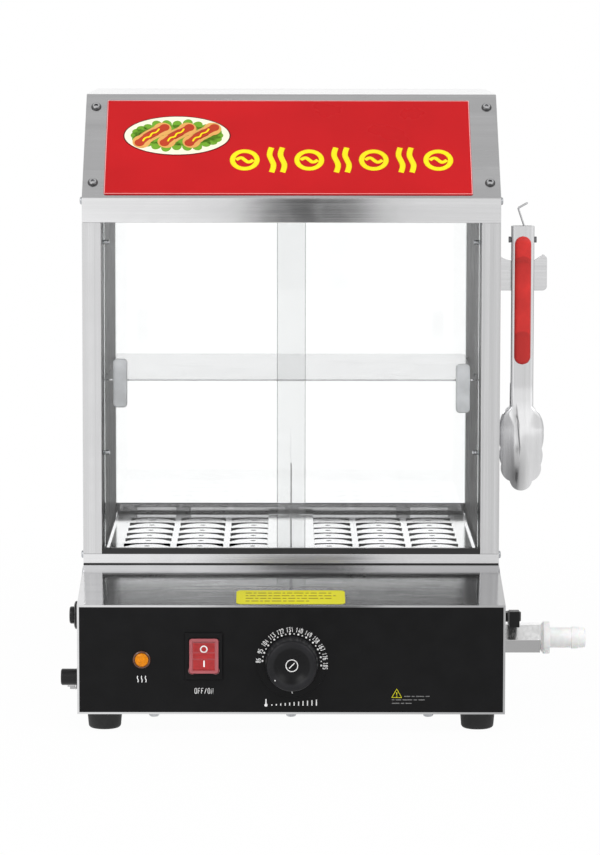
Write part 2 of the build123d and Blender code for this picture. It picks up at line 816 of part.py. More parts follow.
def side_liner(side):
    """Polished inner side sheet; together with the skin it makes a double wall."""
    x0, x1 = sorted((side * liner_x, side * (liner_x + sheet)))
    return block(x0, x1, track_front, back_y - sheet, rim_z, knee_z - 2 * sheet)


def front_top_beam():
    """Strip over the doors, mitred to the sign's sheet."""
    outline = [
        (cabinet_front, opening_top), (cabinet_front + sheet, opening_top),
        knee_inner, (cabinet_front, knee_z),
    ]
    return side_profile(outline, -half_width, half_width)


def front_bottom_beam():
    """Strip under the doors, in front of the bottom track."""
    return block(
        -half_width, half_width, cabinet_front, cabinet_front + sheet, floor_z, opening_bottom
    )


def roof_panel():
    """Flat roof folded down at the back into a deep skirt, mitred to the sign's sheet."""
    outline = [
        (back_y, skirt_z), (back_y, body_height), (roof_front, body_height), roof_inner,
        (back_y - sheet, body_height - sheet), (back_y - sheet, skirt_z),
    ]
    return side_profile(outline, -half_width, half_width)


def hood_front():
    """Leaning sheet behind the sign, from the knee to the roof."""
    outline = [(cabinet_front, knee_z), (roof_front, body_height), roof_inner, knee_inner]
    return side_profile(outline, -half_width, half_width)


def sign_plate():
    """Thin printed plate on the leaning face."""
    length = hood_length - sign_end_border
    plate = RectangleRounded(body_width - 2 * sign_side_border, length, 2)
    middle = hood_plane * Pos(sign_x, sign_low_edge + length / 2, 0)
    return extrude(middle * plate, sign_thickness)


def sign_screws():
    """Button-head screws at the corners of the leaning face."""
    head = pan_head(button_head_radius, button_head_height)
    return Compound([
        hood_plane.location * Pos(sx * (half_width - sign_screw_side), s, 0) * head
        for sx in (-1, 1) for s in (sign_screw_low, hood_length - sign_screw_top)
    ])


def rear_rail(z_low, z_high, base_low):
    """Channel that holds an edge of the rear window between two legs."""
    x = liner_x
    rail = block(-x, x, rear_rail_y, back_y - sheet, z_low, z_high)
    g0, g1 = (z_low + sheet, z_high + 1) if base_low else (z_low - 1, z_high - sheet)
    return rail - block(-x - 1, x + 1, rear_rail_y + sheet, back_y - 2 * sheet, g0, g1)


def rear_bottom_rail():
    """Lower window rail, with four long slots in its inner leg."""
    rail = rear_rail(rim_z, floor_z + rear_rail_height, True)
    z1 = floor_z + rear_rail_height - rear_slot_top_gap
    z0 = z1 - rear_slot_height
    for a, b in rear_slots:
        rail -= block(a * liner_x, b * liner_x, rear_rail_y - 1, rear_rail_y + sheet + 1, z0, z1)
    return rail


def rear_top_rail():
    """Upper window rail behind the roof's skirt."""
    z0 = skirt_z - rear_top_rail_drop
    return rear_rail(z0, z0 + rear_rail_height, False)


def rear_glass():
    """Fixed clear window at the back, against the rails' outer legs."""
    x = liner_x - 0.5
    y1 = back_y - 2 * sheet
    z1 = skirt_z - rear_top_rail_drop + rear_glass_engagement
    return block(-x, x, y1 - glass, y1, rim_z + sheet, z1)


# ---------------------------------------------------------------- sliding doors
def door_track(z0, z1, open_up):
    """Black extrusion with one groove for each pane."""
    track = block(-liner_x, liner_x, track_front, track_back, z0, z1)
    g0, g1 = (z0 + track_floor, z1 + 1) if open_up else (z0 - 1, z1 - track_floor)
    half = (glass + groove_play) / 2
    for y in (front_pane_y, rear_pane_y):
        track -= block(-liner_x - 1, liner_x + 1, y - half, y + half, g0, g1)
    return track


def door_track_bottom():
    """Bottom track; its legs step down to the back, so that the trays show over it."""
    z1 = rim_z + track_height
    track = door_track(rim_z, z1, True)
    x = liner_x + 1
    for i, y in enumerate((front_pane_y, rear_pane_y)):
        track -= block(-x, x, y, track_back + 1, z1 - (i + 1) * track_step, z1 + 1)
    return track


def door_track_top():
    return door_track(opening_top + 0.5, opening_top + 0.5 + track_height, False)


def door_pane(side):
    """Clear pane with softened vertical edges; the right pane runs in the front groove."""
    y = front_pane_y if side > 0 else rear_pane_y
    outer = side * (liner_x - pane_end_gap)
    x0, x1 = sorted((outer, outer - side * pane_width))
    return block(x0, x1, y - glass / 2, y + glass / 2, pane_bottom, pane_top)


def door_pull(side):
    """Frosted finger pull on the front of a pane."""
    y1 = (front_pane_y if side > 0 else rear_pane_y) - glass / 2
    z = shelf_top - (right_pull_drop if side > 0 else left_pull_drop)
    x = side * (liner_x - pane_end_gap - pull_inset - pull_width / 2)
    outline = Plane.XZ.offset(-y1) * Pos(x, z) * RectangleRounded(pull_width, pull_height, 3.5)
    pull = extrude(outline, pull_thickness, dir=(0, -1, 0))
    return fillet(pull.faces().sort_by(Axis.Y)[0].edges(), 1.5)


# ---------------------------------------------------------------- shelf
def shelf():
    """Thin polished shelf between the side liners."""
    x = liner_x - tray_side_gap
    y, length = (shelf_front + shelf_back) / 2, shelf_back - shelf_front
    plate = Pos(0, y) * RectangleRounded(2 * x, length, shelf_corner)
    return extrude(Plane.XY.offset(shelf_top - shelf_thickness) * plate, shelf_thickness)


def liner_studs():
    """Four round studs in the liners that carry the shelf, and four short pins in front."""
    z = shelf_top - shelf_thickness - gap - stud_radius
    studs = []
    for side in (-1, 1):
        x0, x1 = sorted((side * (liner_x - stud_length), side * liner_x))
        for y in (shelf_front + stud_front, shelf_back - stud_back):
            studs.append(rod_x(x0, x1, y, z, stud_radius))
        x0, x1 = sorted((side * (liner_x - pin_length), side * liner_x))
        for pz in (shelf_top - low_pin_drop, opening_top - high_pin_drop):
            studs.append(rod_x(x0, x1, track_back + pin_back, pz, pin_radius))
    return Compound(studs)


# ---------------------------------------------------------------- trays
def steam_slot(half_angle):
    """Arch-shaped slot: a band of an annulus about its own centre."""
    a = math.radians(half_angle)
    ro, ri = slot_radius + slot_width / 2, slot_radius - slot_width / 2

    def at(r, angle):
        return (r * math.sin(angle), r * math.cos(angle))

    return make_face(
        ThreePointArc(at(ro, -a), at(ro, 0), at(ro, a))
        + Line(at(ro, a), at(ri, a))
        + ThreePointArc(at(ri, a), at(ri, 0), at(ri, -a))
        + Line(at(ri, -a), at(ro, -a))
    )


def tray(side):
    """Perforated tray with hems to the front and back and a lip along the wall."""
    x_in, x_out = tray_middle_gap / 2, liner_x - tray_side_gap
    y0, y1 = track_back + gap, tray_back
    z0 = tray_top - tray_thickness
    foot = rim_z + gap
    t = tray_thickness
    a, b = sorted((side * x_in, side * x_out))
    body = block(a, b, y0, y1, z0, tray_top)
    body += block(a, b, y0, y0 + t, foot, z0)
    body += block(a, b, y1 - t, y1, foot, z0)
    l0, l1 = sorted((side * x_out, side * (x_out - t)))
    body += block(l0, l1, y0, y1, foot, tray_top + tray_side_lip)
    cuts = []
    for column in range(slot_columns):
        cx = side * (slot_first_x + column * slot_column_pitch)
        for row in range(slot_rows):
            cy = tray_back - slot_back_gap - row * slot_row_pitch
            half_angle = front_slot_half_angle if row == slot_rows - 1 else slot_half_angle
            cuts.append(Pos(cx, cy) * steam_slot(half_angle))
            cuts.append(Pos(cx, cy + steam_hole_offset) * Circle(steam_hole_radius))
    return body - [extrude(Plane.XY.offset(z0 - 1) * cut, t + 2) for cut in cuts]


def partition():
    """Upside-down T of sheet that parts the two trays."""
    y0, y1 = track_back + partition_end_gap, tray_back - partition_end_gap
    z0 = tray_top + gap
    web = block(-sheet / 2, sheet / 2, y0, y1, z0, z0 + partition_height)
    foot = block(-partition_half_foot, partition_half_foot, y0, y1, z0, z0 + sheet)
    return web + foot


# ---------------------------------------------------------------- tongs
def tongs_bracket():
    """Plate with a saddle and a rounded horn, screwed to the wall by a flange."""
    low, top, r = saddle_z - plate_height, saddle_z + horn_height, bracket_round
    right = bracket_reach
    start, end = tongs_out - arm_width / 2 - 0.9, tongs_out + arm_width / 2 + 0.2
    outline = make_face(
        Polyline((0, low), (right - r, low))
        + ThreePointArc((right - r, low), (right - 0.3 * r, low + 0.3 * r), (right, low + r))
        + Line((right, low + r), (right, top - r))
        + ThreePointArc((right, top - r), (right - 0.3 * r, top - 0.3 * r), (right - r, top))
        + ThreePointArc((right - r, top), (right - 2 * r, saddle_z + r * 0.6), (end, saddle_z))
        + Line((end, saddle_z), (start, saddle_z))
        + ThreePointArc((start, saddle_z), (start / 2, saddle_z + 0.35 * r), (0, top))
        + Line((0, top), (0, low))
    )
    y0 = tongs_y - plate_thickness / 2
    front = Plane.XZ.offset(-y0) * Pos(half_width, 0)
    plate = extrude(front * outline, plate_thickness, dir=(0, 1, 0))
    x1 = half_width + plate_thickness
    return plate + block(half_width, x1, y0, y0 + bracket_flange, low, saddle_z + 1)


def scoop(side):
    """Scalloped head: a shell curved both ways, cut to its outline."""
    t, w = arm_sheet, head_half_width
    mid_z = pivot_z - head_drop
    profile = Pos(0, -side * (head_radius - head_cross_radius)) * (
        Circle(head_cross_radius) - Circle(head_cross_radius - t)
    )
    keep = Pos(0, -side * head_radius) * Rectangle(2 * w + t, head_cross_radius)
    shell = revolve(Plane.XY * (profile & keep), Axis.X)
    shell = Pos(tongs_x, tongs_y + side * (head_radius - head_depth), mid_z) * shell
    right = [(x * w, mid_z + z * w) for x, z in head_edge]
    left = [(-x, z) for x, z in right]
    edge = Line(left[0], right[0])
    edge += ThreePointArc(right[-1], (0, mid_z + head_tip * w), left[-1])
    for points in (right, left):
        for i in range(0, len(points) - 2, 2):
            edge += ThreePointArc(points[i], points[i + 1], points[i + 2])
    outline = make_face(edge)
    outline += Pos(0, neck_z - 0.4 * w) * Rectangle(0.9 * w, 1.25 * w)
    y0, y1 = sorted((tongs_y - side * gap / 2, tongs_y - side * (head_depth + 3)))
    column = extrude(Plane.XZ.offset(-y0) * Pos(tongs_x, 0) * outline, y1 - y0, dir=(0, 1, 0))
    return shell & column


def ring_line():
    """Foot, bend and end of the wire pull, as (x, z)."""
    top = pivot_z + arm_top
    return (tongs_x + 2.0, top - 2.1), (tongs_x - 3.9, top + 15.3), (tongs_x + 4.0, top + 19.7)


def tongs_arm(side, width):
    """Channel arm with a scoop; side is +1 for the front arm. Its flanges nest at the pivot."""
    t = arm_sheet
    s = -side
    top = pivot_z + arm_top
    cross = saddle_z + saddle_play
    ear = -s * ear_reach
    corner = 0.75 * (ear if side > 0 else -ear)
    flange = [
        (s * arm_spread, top), (corner, top), (ear, top - ear_chamfer), (ear, cross),
        (s * flange_top, cross), (s * flange_low, pivot_z - flange_bend),
        (s * flange_low, neck_z), (s * arm_spread, neck_z),
    ]
    half = width / 2
    points = [(tongs_y + y, z) for y, z in flange]
    arm = side_profile(points, tongs_x - half, tongs_x + half)
    y0, y1 = sorted((tongs_y + s * (arm_spread - t), tongs_y - s * 12))
    inside = block(tongs_x - half + t, tongs_x + half - t, y0, y1, neck_z - 1, top + 1)
    arm -= inside
    if side < 0:
        tab = block(tongs_x - half + t, tongs_x + half - t, tongs_y - 0.5, y1 + 40, top - t, top)
        arm += tab & block(tongs_x - half, tongs_x + half, tongs_y - 1, tongs_y + arm_spread - t, 0, top)
        foot, bend, _ = ring_line()
        for y in ring_legs:
            hole = Line((foot[0], tongs_y + y, foot[1]), (bend[0], tongs_y + y, bend[1]))
            start = Plane(origin=hole @ 0, z_dir=hole % 0)
            arm -= sweep(start * Circle(ring_wire + ring_play), path=hole)
    arm -= rod_x(tongs_x - half - 1, tongs_x + half + 1, tongs_y, pivot_z, pin_hole)
    return arm + scoop(side)


def tongs_grip(side):
    """Red grip on the arm's web, rounded all round its face."""
    y = tongs_y - side * arm_spread
    z = pivot_z + grip_above - grip_length / 2
    outline = Pos(tongs_x, z) * SlotOverall(grip_length, grip_width, rotation=90)
    grip = extrude(Plane.XZ.offset(-y) * outline, grip_thickness, dir=(0, -side, 0))
    face = grip.faces().sort_by(Axis.Y)[0 if side > 0 else -1]
    return fillet(face.edges(), grip_round)


def tongs_pin():
    """Pivot pin with a round head on each side."""
    half = arm_width / 2 + gap
    pin = rod_x(tongs_x - half, tongs_x + half, tongs_y, pivot_z, pivot_pin_radius)
    for s in (-1, 1):
        x0, x1 = sorted((tongs_x + s * half, tongs_x + s * (half + 2)))
        pin += rod_x(x0, x1, tongs_y, pivot_z, 2.7)
    return pin


def tongs_spring():
    """Coiled opening spring round the pin, as a sleeve with one ridge for each turn."""
    turns = 5
    pitch = 1.8
    start = -turns * pitch / 2
    points = [(start, 2.2)]
    for i in range(turns):
        points += [(start + i * pitch, 2.9), (start + (i + 0.5) * pitch, 3.7)]
    points += [(-start, 2.9), (-start, 2.2)]
    return turned_x(points, tongs_x, tongs_y, pivot_z)


def tongs_ring():
    """Closed wire loop that locks the arms shut; it slides through the rear arm's top."""
    foot, bend, end = ring_line()
    front, rear = (tongs_y + y for y in ring_legs)
    route = FilletPolyline(
        (foot[0], front, foot[1]), (bend[0], front, bend[1]), (end[0], front, end[1]),
        (end[0], rear, end[1]), (bend[0], rear, bend[1]), (foot[0], rear, foot[1]),
        radius=1.3, close=True,
    )
    return sweep(Plane(origin=route @ 0, z_dir=route % 0) * Circle(ring_wire), path=route)


# ---------------------------------------------------------------- the pieces
pieces = {
    "base_front_panel": base_front_panel(),
    "panel_overlay": panel_overlay(),
    "base_side_left": base_side(-1),
    "base_side_right": base_side(1),
    "base_back_panel": base_back_panel(),
    "bottom_plate": bottom_plate(),
    "feet": feet(),
    "panel_screws": panel_screws(),
    "dial_plate": dial_plate(),
    "thermostat_knob": thermostat_knob(),
    "thermostat_shaft": thermostat_shaft(),
    "thermostat_body": thermostat_body(),
    "thermostat_probe": thermostat_probe(),
    "rocker_housing": rocker_housing(),
    "rocker_button": rocker_button(),
    "lamp_bezel": lamp_bezel(),
    "lamp_lens": lamp_lens(),
    "reset_housing": reset_housing(),
    "reset_button": reset_button(),
    "cable_gland": cable_gland(),
    "earth_stud": earth_stud(),
    "water_tank": water_tank(),
    "heating_element": heating_element(),
    "terminal_block": terminal_block(),
    "drain_pipe": drain_pipe(),
    "valve_body": valve_body(),
    "valve_lever": valve_lever(),
    "hose_barb": hose_barb(),
    "side_skin_left": side_skin(-1),
    "side_skin_right": side_skin(1),
    "side_liner_left": side_liner(-1),
    "side_liner_right": side_liner(1),
    "front_top_beam": front_top_beam(),
    "front_bottom_beam": front_bottom_beam(),
    "roof_panel": roof_panel(),
    "hood_front": hood_front(),
    "sign_plate": sign_plate(),
    "sign_screws": sign_screws(),
    "rear_bottom_rail": rear_bottom_rail(),
    "rear_top_rail": rear_top_rail(),
    "rear_glass": rear_glass(),
    "door_track_bottom": door_track_bottom(),
    "door_track_top": door_track_top(),
    "door_glass_left": door_pane(-1),
    "door_glass_right": door_pane(1),
    "door_pull_left": door_pull(-1),
    "door_pull_right": door_pull(1),
    "shelf": shelf(),
    "liner_studs": liner_studs(),
    "tray_left": tray(-1),
    "tray_right": tray(1),
    "partition": partition(),
    "tongs_bracket": tongs_bracket(),
    "tongs_arm_front": tongs_arm(1, arm_width),
    "tongs_arm_rear": tongs_arm(-1, arm_width - 2 * arm_sheet - 2 * gap),
    "tongs_grip_front": tongs_grip(1),
    "tongs_grip_rear": tongs_grip(-1),
    "tongs_pin": tongs_pin(),
    "tongs_spring": tongs_spring(),
    "tongs_ring": tongs_ring(),
}

for name, piece in pieces.items():
    export_step(piece, f"parts/{name}.step")
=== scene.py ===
"""Looks of a counter-top hot dog steamer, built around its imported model.

Metres and Z up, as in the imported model. Shapes are given in millimetres, and the modelling helpers turn
them into metres; shader formulas read object coordinates, which are in metres.
"""
import json
import math

import bpy
from mathutils import Matrix, Vector


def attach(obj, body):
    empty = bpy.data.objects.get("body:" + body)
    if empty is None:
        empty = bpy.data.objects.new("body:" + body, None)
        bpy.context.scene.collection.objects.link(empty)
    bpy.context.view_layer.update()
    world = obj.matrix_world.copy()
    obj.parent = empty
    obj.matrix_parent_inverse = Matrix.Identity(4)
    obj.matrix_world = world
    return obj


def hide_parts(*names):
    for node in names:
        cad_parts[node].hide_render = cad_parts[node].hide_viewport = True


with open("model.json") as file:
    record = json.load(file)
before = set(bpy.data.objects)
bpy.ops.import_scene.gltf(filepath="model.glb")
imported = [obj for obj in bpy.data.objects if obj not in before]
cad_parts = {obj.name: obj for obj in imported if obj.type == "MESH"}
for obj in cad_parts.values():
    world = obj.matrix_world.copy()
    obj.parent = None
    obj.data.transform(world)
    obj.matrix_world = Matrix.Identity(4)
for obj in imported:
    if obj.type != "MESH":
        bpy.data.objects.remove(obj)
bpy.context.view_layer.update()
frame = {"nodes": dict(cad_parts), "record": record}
nodes = frame["nodes"]
mm = 0.001
ops = bpy.ops
bpy.context.scene.view_settings.view_transform = "Standard"
body_of = {n: b for b, ns in frame["record"]["behaviour"]["bodies"].items() for n in ns}


# ---------------------------------------------------------------- camera
def camera():
    """A long lens in front of the doors, a little above the roof and looking slightly down."""
    eye, yaw, pitch, roll = (-0.0065, -3.544, 0.632), 0.0041, -0.110, 0.0014
    forward = Vector((math.sin(yaw) * math.cos(pitch), math.cos(yaw) * math.cos(pitch), math.sin(pitch)))
    right = Vector((math.cos(yaw), -math.sin(yaw), 0))
    up = right.cross(forward)
    side = math.cos(roll) * right + math.sin(roll) * up
    top = -math.sin(roll) * right + math.cos(roll) * up
    data = bpy.data.cameras.new("view")
    data.lens, data.sensor_width, data.sensor_fit, data.clip_end = 167.07, 36, "AUTO", 40
    view = bpy.data.objects.new("view", data)
    bpy.context.collection.objects.link(view)
    view.matrix_world = Matrix.Translation(eye) @ Matrix((side, top, -forward)).transposed().to_4x4()
    bpy.context.scene.camera = view


camera()


# ---------------------------------------------------------------- node trees as formulas
class Signal:
    """A node's output that takes part in sums, so that masks and colours read as formulas."""

    def __init__(self, socket):
        self.socket, self.tree = socket, socket.id_data

    def __add__(self, other):
        return maths("ADD", self, other)

    def __radd__(self, other):
        return maths("ADD", other, self)

    def __sub__(self, other):
        return maths("SUBTRACT", self, other)

    def __rsub__(self, other):
        return maths("SUBTRACT", other, self)

    def __mul__(self, other):
        return maths("MULTIPLY", self, other)

    def __pow__(self, other):
        return maths("POWER", self, other)

    def __abs__(self):
        return maths("ABSOLUTE", self)


def feed(socket, value):
    """Links a signal to an input, or sets a plain value there."""
    if isinstance(value, Signal):
        socket.id_data.links.new(value.socket, socket)
    else:
        socket.default_value = value


def signal(tree, kind, output=0, inputs=None, **settings):
    """One output of a new node, with the node's settings and inputs."""
    made = tree.nodes.new(kind)
    for key, value in settings.items():
        setattr(made, key, value)
    for key, value in (inputs or {}).items():
        feed(made.inputs[key], value)
    return Signal(made.outputs[output])


def tree_of(*values):
    return next(value.tree for value in values if isinstance(value, Signal))


def maths(operation, a, b=0.0, clamp=False):
    return signal(tree_of(a, b), "ShaderNodeMath", 0, {0: a, 1: b}, operation=operation, use_clamp=clamp)


def most(a, b, clamp=False):
    return maths("MAXIMUM", a, b, clamp)


def vector_maths(operation, a, b, output=0):
    return signal(a.tree, "ShaderNodeVectorMath", output, {0: a, 1: b}, operation=operation)


def ramp(value, low, high, to_low=0.0, to_high=1.0):
    """Value from low..high mapped to to_low..to_high, clamped."""
    limits = {"Value": value, "From Min": low, "From Max": high, "To Min": to_low, "To Max": to_high}
    return signal(value.tree, "ShaderNodeMapRange", 0, limits)


def mixed(factor, a, b):
    """Colour a where the factor is 0 and b where it is 1."""
    return signal(tree_of(factor, a, b), "ShaderNodeMix", 2, {0: factor, 6: a, 7: b}, data_type="RGBA")


def point(tree):
    return signal(tree, "ShaderNodeTexCoord", "Object")


def along(vector, axis):
    return signal(vector.tree, "ShaderNodeSeparateXYZ", axis, {0: vector})


def at(tree, axis):
    """Object coordinate along an axis."""
    return along(point(tree), axis)


def facing(tree, axis):
    """Part of the unsmoothed normal along an axis."""
    return along(signal(tree, "ShaderNodeNewGeometry", "Normal"), axis)


def noise(where, scale, detail, **more):
    inputs = {"Vector": where, "Scale": scale, "Detail": detail, **more}
    return signal(where.tree, "ShaderNodeTexNoise", "Fac", inputs)


def voronoi(where, scale):
    return signal(where.tree, "ShaderNodeTexVoronoi", "Distance", {"Vector": where, "Scale": scale})


def group(name, build, **inputs):
    """A node group; build gives its named outputs, and inputs are the sockets' default values."""
    tree = bpy.data.node_groups.new(name, "ShaderNodeTree")
    for label, value in inputs.items():
        kind = "NodeSocketVector" if isinstance(value, tuple) else "NodeSocketFloat"
        tree.interface.new_socket(label, in_out="INPUT", socket_type=kind).default_value = value
    given = tree.nodes.new("NodeGroupInput").outputs
    made = build(tree, *(Signal(given[label]) for label in inputs))
    for label in made:
        tree.interface.new_socket(label, in_out="OUTPUT", socket_type="NodeSocketFloat")
    out = tree.nodes.new("NodeGroupOutput").inputs
    for label, value in made.items():
        feed(out[label], value)
    return tree


def use(tree, kind, **values):
    """A group's outputs as signals; values are its constants."""
    made = tree.nodes.new("ShaderNodeGroup")
    made.node_tree = kind
    for key, value in values.items():
        made.inputs[key].default_value = value
    return {socket.name: Signal(socket) for socket in made.outputs}


def edge_wear_tree(tree, radius, patchiness):
    """Mask of the outer edges, broken up by a fine noise."""
    rounded = signal(tree, "ShaderNodeBevel", 0, {"Radius": radius}, samples=4)
    flat = signal(tree, "ShaderNodeNewGeometry", "Normal")
    edge = ramp(vector_maths("DOT_PRODUCT", rounded, flat, "Value"), 0.995, 0.86)
    broken = ramp(noise(point(tree), 180.0, 3.0), 0.4, 0.62)
    return {"Mask": maths("MULTIPLY", edge, 1.0 - broken * patchiness, True)}


def brushed_tree(tree, stretch, offset):
    """Grain of brushed sheet: thin lines and broad soft streaks along one direction."""
    fine_at = vector_maths("MULTIPLY", vector_maths("ADD", point(tree), offset), stretch)
    fine = noise(fine_at, 1.0, 4.0)
    broad = noise(vector_maths("MULTIPLY", fine_at, (0.3, 0.06, 0.06)), 1.0, 2.0)
    return {"Tone": ramp(fine, 0.3, 0.7), "Streak": ramp(broad, 0.3, 0.7), "Height": fine}


def smudge_tree(tree, size):
    """Wiped and handled patches, a few centimetres across."""
    return {"Patch": ramp(noise(point(tree), size, 5.0, Distortion=1.2), 0.42, 0.7)}


def dust_tree(tree, amount):
    """Thin dust that settles on what faces up."""
    lying = ramp(facing(tree, "Z"), 0.55, 1.0) * ramp(noise(point(tree), 70.0, 6.0), 0.38, 0.75)
    return {"Mask": maths("MULTIPLY", lying, amount, True)}


def moulding_tree(tree, pit_scale):
    """Spark-eroded texture of a moulded part: fine pits and a slow waviness."""
    waves = noise(point(tree), 60.0, 4.0)
    return {"Tone": waves, "Height": voronoi(point(tree), pit_scale) * 0.5 + waves}


edge_wear = group("edge_wear", edge_wear_tree, Radius=0.0006, Patchiness=0.5)
brushed = group("brushed_grain", brushed_tree, Stretch=(6.0, 900.0, 900.0), Offset=0.0)
smudges = group("smudges", smudge_tree, Size=22.0)
dust = group("dust", dust_tree, Amount=0.3)
moulding = group("moulding_texture", moulding_tree, Pits=2600.0)


def material(name, **fixed):
    """A material, its Principled BSDF and its output; fixed are constants of the shader's sockets."""
    made = bpy.data.materials.new(name)
    made.use_nodes = True
    tree = made.node_tree
    tree.nodes.clear()
    shader = signal(tree, "ShaderNodeBsdfPrincipled", 0, {k.replace("_", " "): v for k, v in fixed.items()})
    output = tree.nodes.new("ShaderNodeOutputMaterial")
    feed(output.inputs["Surface"], shader)
    return made, shader, output


def coat(shader, colour, rough, height=None, strength=0.0, distance=0.0):
    """Links a shader's colour, roughness and relief."""
    sockets = shader.socket.node.inputs
    feed(sockets["Base Color"], colour)
    feed(sockets["Roughness"], rough)
    if height:
        relief = {"Height": height, "Strength": strength, "Distance": distance}
        feed(sockets["Normal"], signal(shader.tree, "ShaderNodeBump", 0, relief))


def surface(output, factor, first, second):
    """Shows the first shader where the factor is 0 and the second where it is 1."""
    both = signal(output.id_data, "ShaderNodeMixShader", 0, {0: factor, 1: first, 2: second})
    feed(output.inputs["Surface"], both)


def rgb(r, g, b):
    """Linear colour from the usual 0..255 screen values."""
    return tuple(
        c / 12.92 if c <= 0.04045 else ((c + 0.055) / 1.055) ** 2.4 for c in (r / 255, g / 255, b / 255)
    ) + (1.0,)


def grey(level):
    return rgb(level, level, level)


def shade(colour, factor):
    return tuple(min(c * factor, 1.0) for c in colour[:3]) + (1.0,)


def drifting(colour, tone, low, high):
    """Colour that drifts between two of its shades with a slow tone."""
    return mixed(ramp(tone, 0.35, 0.65), shade(colour, low), shade(colour, high))


def veiled(colour, darkening, plain, stain):
    """Colour darkened to a share of the plain one where the mask is 1; darkening is (mask, share) or None,
    and most of its masks paint shade.
    """
    if not darkening:
        return colour
    mask, share = darkening
    return mixed(mask(stain.tree, stain), colour, shade(plain, share))


# ---------------------------------------------------------------- darkening masks, most of them painted shade; stain is the material's slow noise
def steam_stain(tree, stain):
    """The liners are darker towards their foot."""
    return ramp(at(tree, "Z") + stain * -0.03, 0.37, 0.2)


def mill_flanks(tree, _):
    """Painted shade on the tongs: their flanges, the head's crease, its tip and the web are darkened where
    shade falls.
    """
    x, z = at(tree, "X"), at(tree, "Z")
    lean = maths("MINIMUM", (0.266 - z) * (1 / 0.035), 1.0)
    off = x - (0.1987 + lean * 0.0029)
    beside = ramp(off, -0.0052, -0.0012) * ramp(off, 0.0004, 0.0, 0.0, 0.45)
    shown = ramp(z, 0.21, 0.232, 0.0, 0.66) * ramp(z, 0.271, 0.264)
    crease = most(ramp(abs(off), 0.0012, 0.0001), beside) * shown
    tip_x, tip_z, tip_wide, tip_tall = 0.1975, 0.204, 0.0115, 0.032
    around = ((x - tip_x) * (1 / tip_wide)) ** 2.0 + ((z - tip_z) * (1 / tip_tall)) ** 2.0
    hollow = ramp(maths("SQRT", around), 1.2, 0.1) * 0.72
    web = ramp(abs(x - 0.2035), 0.0078, 0.0068) * ramp(z, 0.262, 0.272, 0.0, 0.14)
    return most(most(ramp(abs(facing(tree, "X")), 0.72, 0.93), web), most(crease, hollow))


def sheared_edge(tree, _):
    """Painted shade on the partition's web: its edges facing front and back and, in part, its side faces;
    its foot is bright.
    """
    return most(ramp(abs(facing(tree, "Y")), 0.5, 0.8), ramp(abs(facing(tree, "X")), 0.5, 0.8, 0.0, 0.4))


def dull_underside(tree, _):
    """Painted shade on what faces down."""
    return ramp(facing(tree, "Z"), -0.4, -0.8)


def slot_walls(tree, _):
    """Painted shade on the walls of the slots and their lips, inside the trays' rims."""
    return ramp(abs(facing(tree, "Z")), 0.8, 0.5) * ramp(abs(at(tree, "X")), 0.158, 0.156)


def worn_side(tree, _):
    """Painted shade: the deck darkens towards its right end."""
    return ramp(at(tree, "X"), -0.08, 0.17)


def window_walls(tree, _):
    """Painted shade on the walls of the rear rail's windows."""
    return ramp(abs(facing(tree, "Y")), 0.8, 0.4) * ramp(at(tree, "Y"), 0.1948, 0.1944)


def tilted_flank(tree, _):
    """Painted shade on what leans away from the sign's face, on the screws of the sign."""
    flat = signal(tree, "ShaderNodeNewGeometry", "Normal")
    return ramp(vector_maths("DOT_PRODUCT", flat, (0.0, -0.666, 0.746), "Value"), 0.97, 0.86)


def lower_facets(tree, _):
    """Painted shade on the valve's lower facets."""
    return ramp(facing(tree, "Z"), -0.2, -0.45)


def thumb_hollows(tree, _):
    """Painted shade in two arched hollows of the tongs' grips, deepest under their upper edges; the lower
    one runs out.
    """
    across = (at(tree, "X") - 0.2035) * (1 / 0.00725)
    arch = at(tree, "Z") + across ** 2.0 * 0.003
    upper = ramp(arch, 0.3996, 0.3986) * ramp(arch, 0.3742, 0.3986, 0.15, 1.0)
    return most(upper, ramp(arch, 0.3338, 0.3326) * 0.9, True)


def knob_face(tree, _):
    """Painted shade on the knob's dished face, inside its matt ring."""
    reach = (at(tree, "X") - 0.0005) ** 2.0 + (at(tree, "Z") - 0.0616) ** 2.0
    return ramp(maths("SQRT", reach), 0.0162, 0.0146)


def rocker_frame(tree, _):
    """The frame round the rocker's two faces, where painted sheen is laid."""
    across, upward = abs(at(tree, "X") + 0.0744), abs(at(tree, "Z") - 0.0673)
    return most(ramp(across, 0.0092, 0.0098), ramp(upward, 0.0114, 0.012))


# ---------------------------------------------------------------- metals
def steel(name, stretch, tone=200, rough=0.2, streaks=0.12, grain=0.16, offset=0.0, smear=0.04, wear=0.3,
          relief=0.00006, darkening=None, Metallic=1.0, **fixed):
    """Brushed stainless sheet; stretch is the grain's frequency along x, y and z."""
    made, shader, _ = material(name, Metallic=Metallic, **fixed)
    lines = use(shader.tree, brushed, Stretch=stretch, Offset=offset)
    stain = use(shader.tree, smudges)["Patch"]
    worn = use(shader.tree, edge_wear, Radius=0.0007)["Mask"]
    base = rgb(tone, tone, min(tone + 1, 255))
    colour = mixed(lines["Tone"], shade(base, 1 - grain / 2), shade(base, 1 + grain / 2))
    colour = mixed(0.5, colour, mixed(lines["Streak"], shade(base, 1 - streaks), shade(base, 1 + streaks)))
    colour = mixed(stain * 0.5, colour, shade(base, 1 - smear))
    colour = mixed(worn * wear, colour, rgb(235, 235, 236))
    dull = ramp(lines["Tone"], 0, 1, rough * 0.82, rough * 1.18) + stain * (rough * 0.3)
    coat(shader, veiled(colour, darkening, base, stain), dull, lines["Height"], 0.22, relief)
    return made


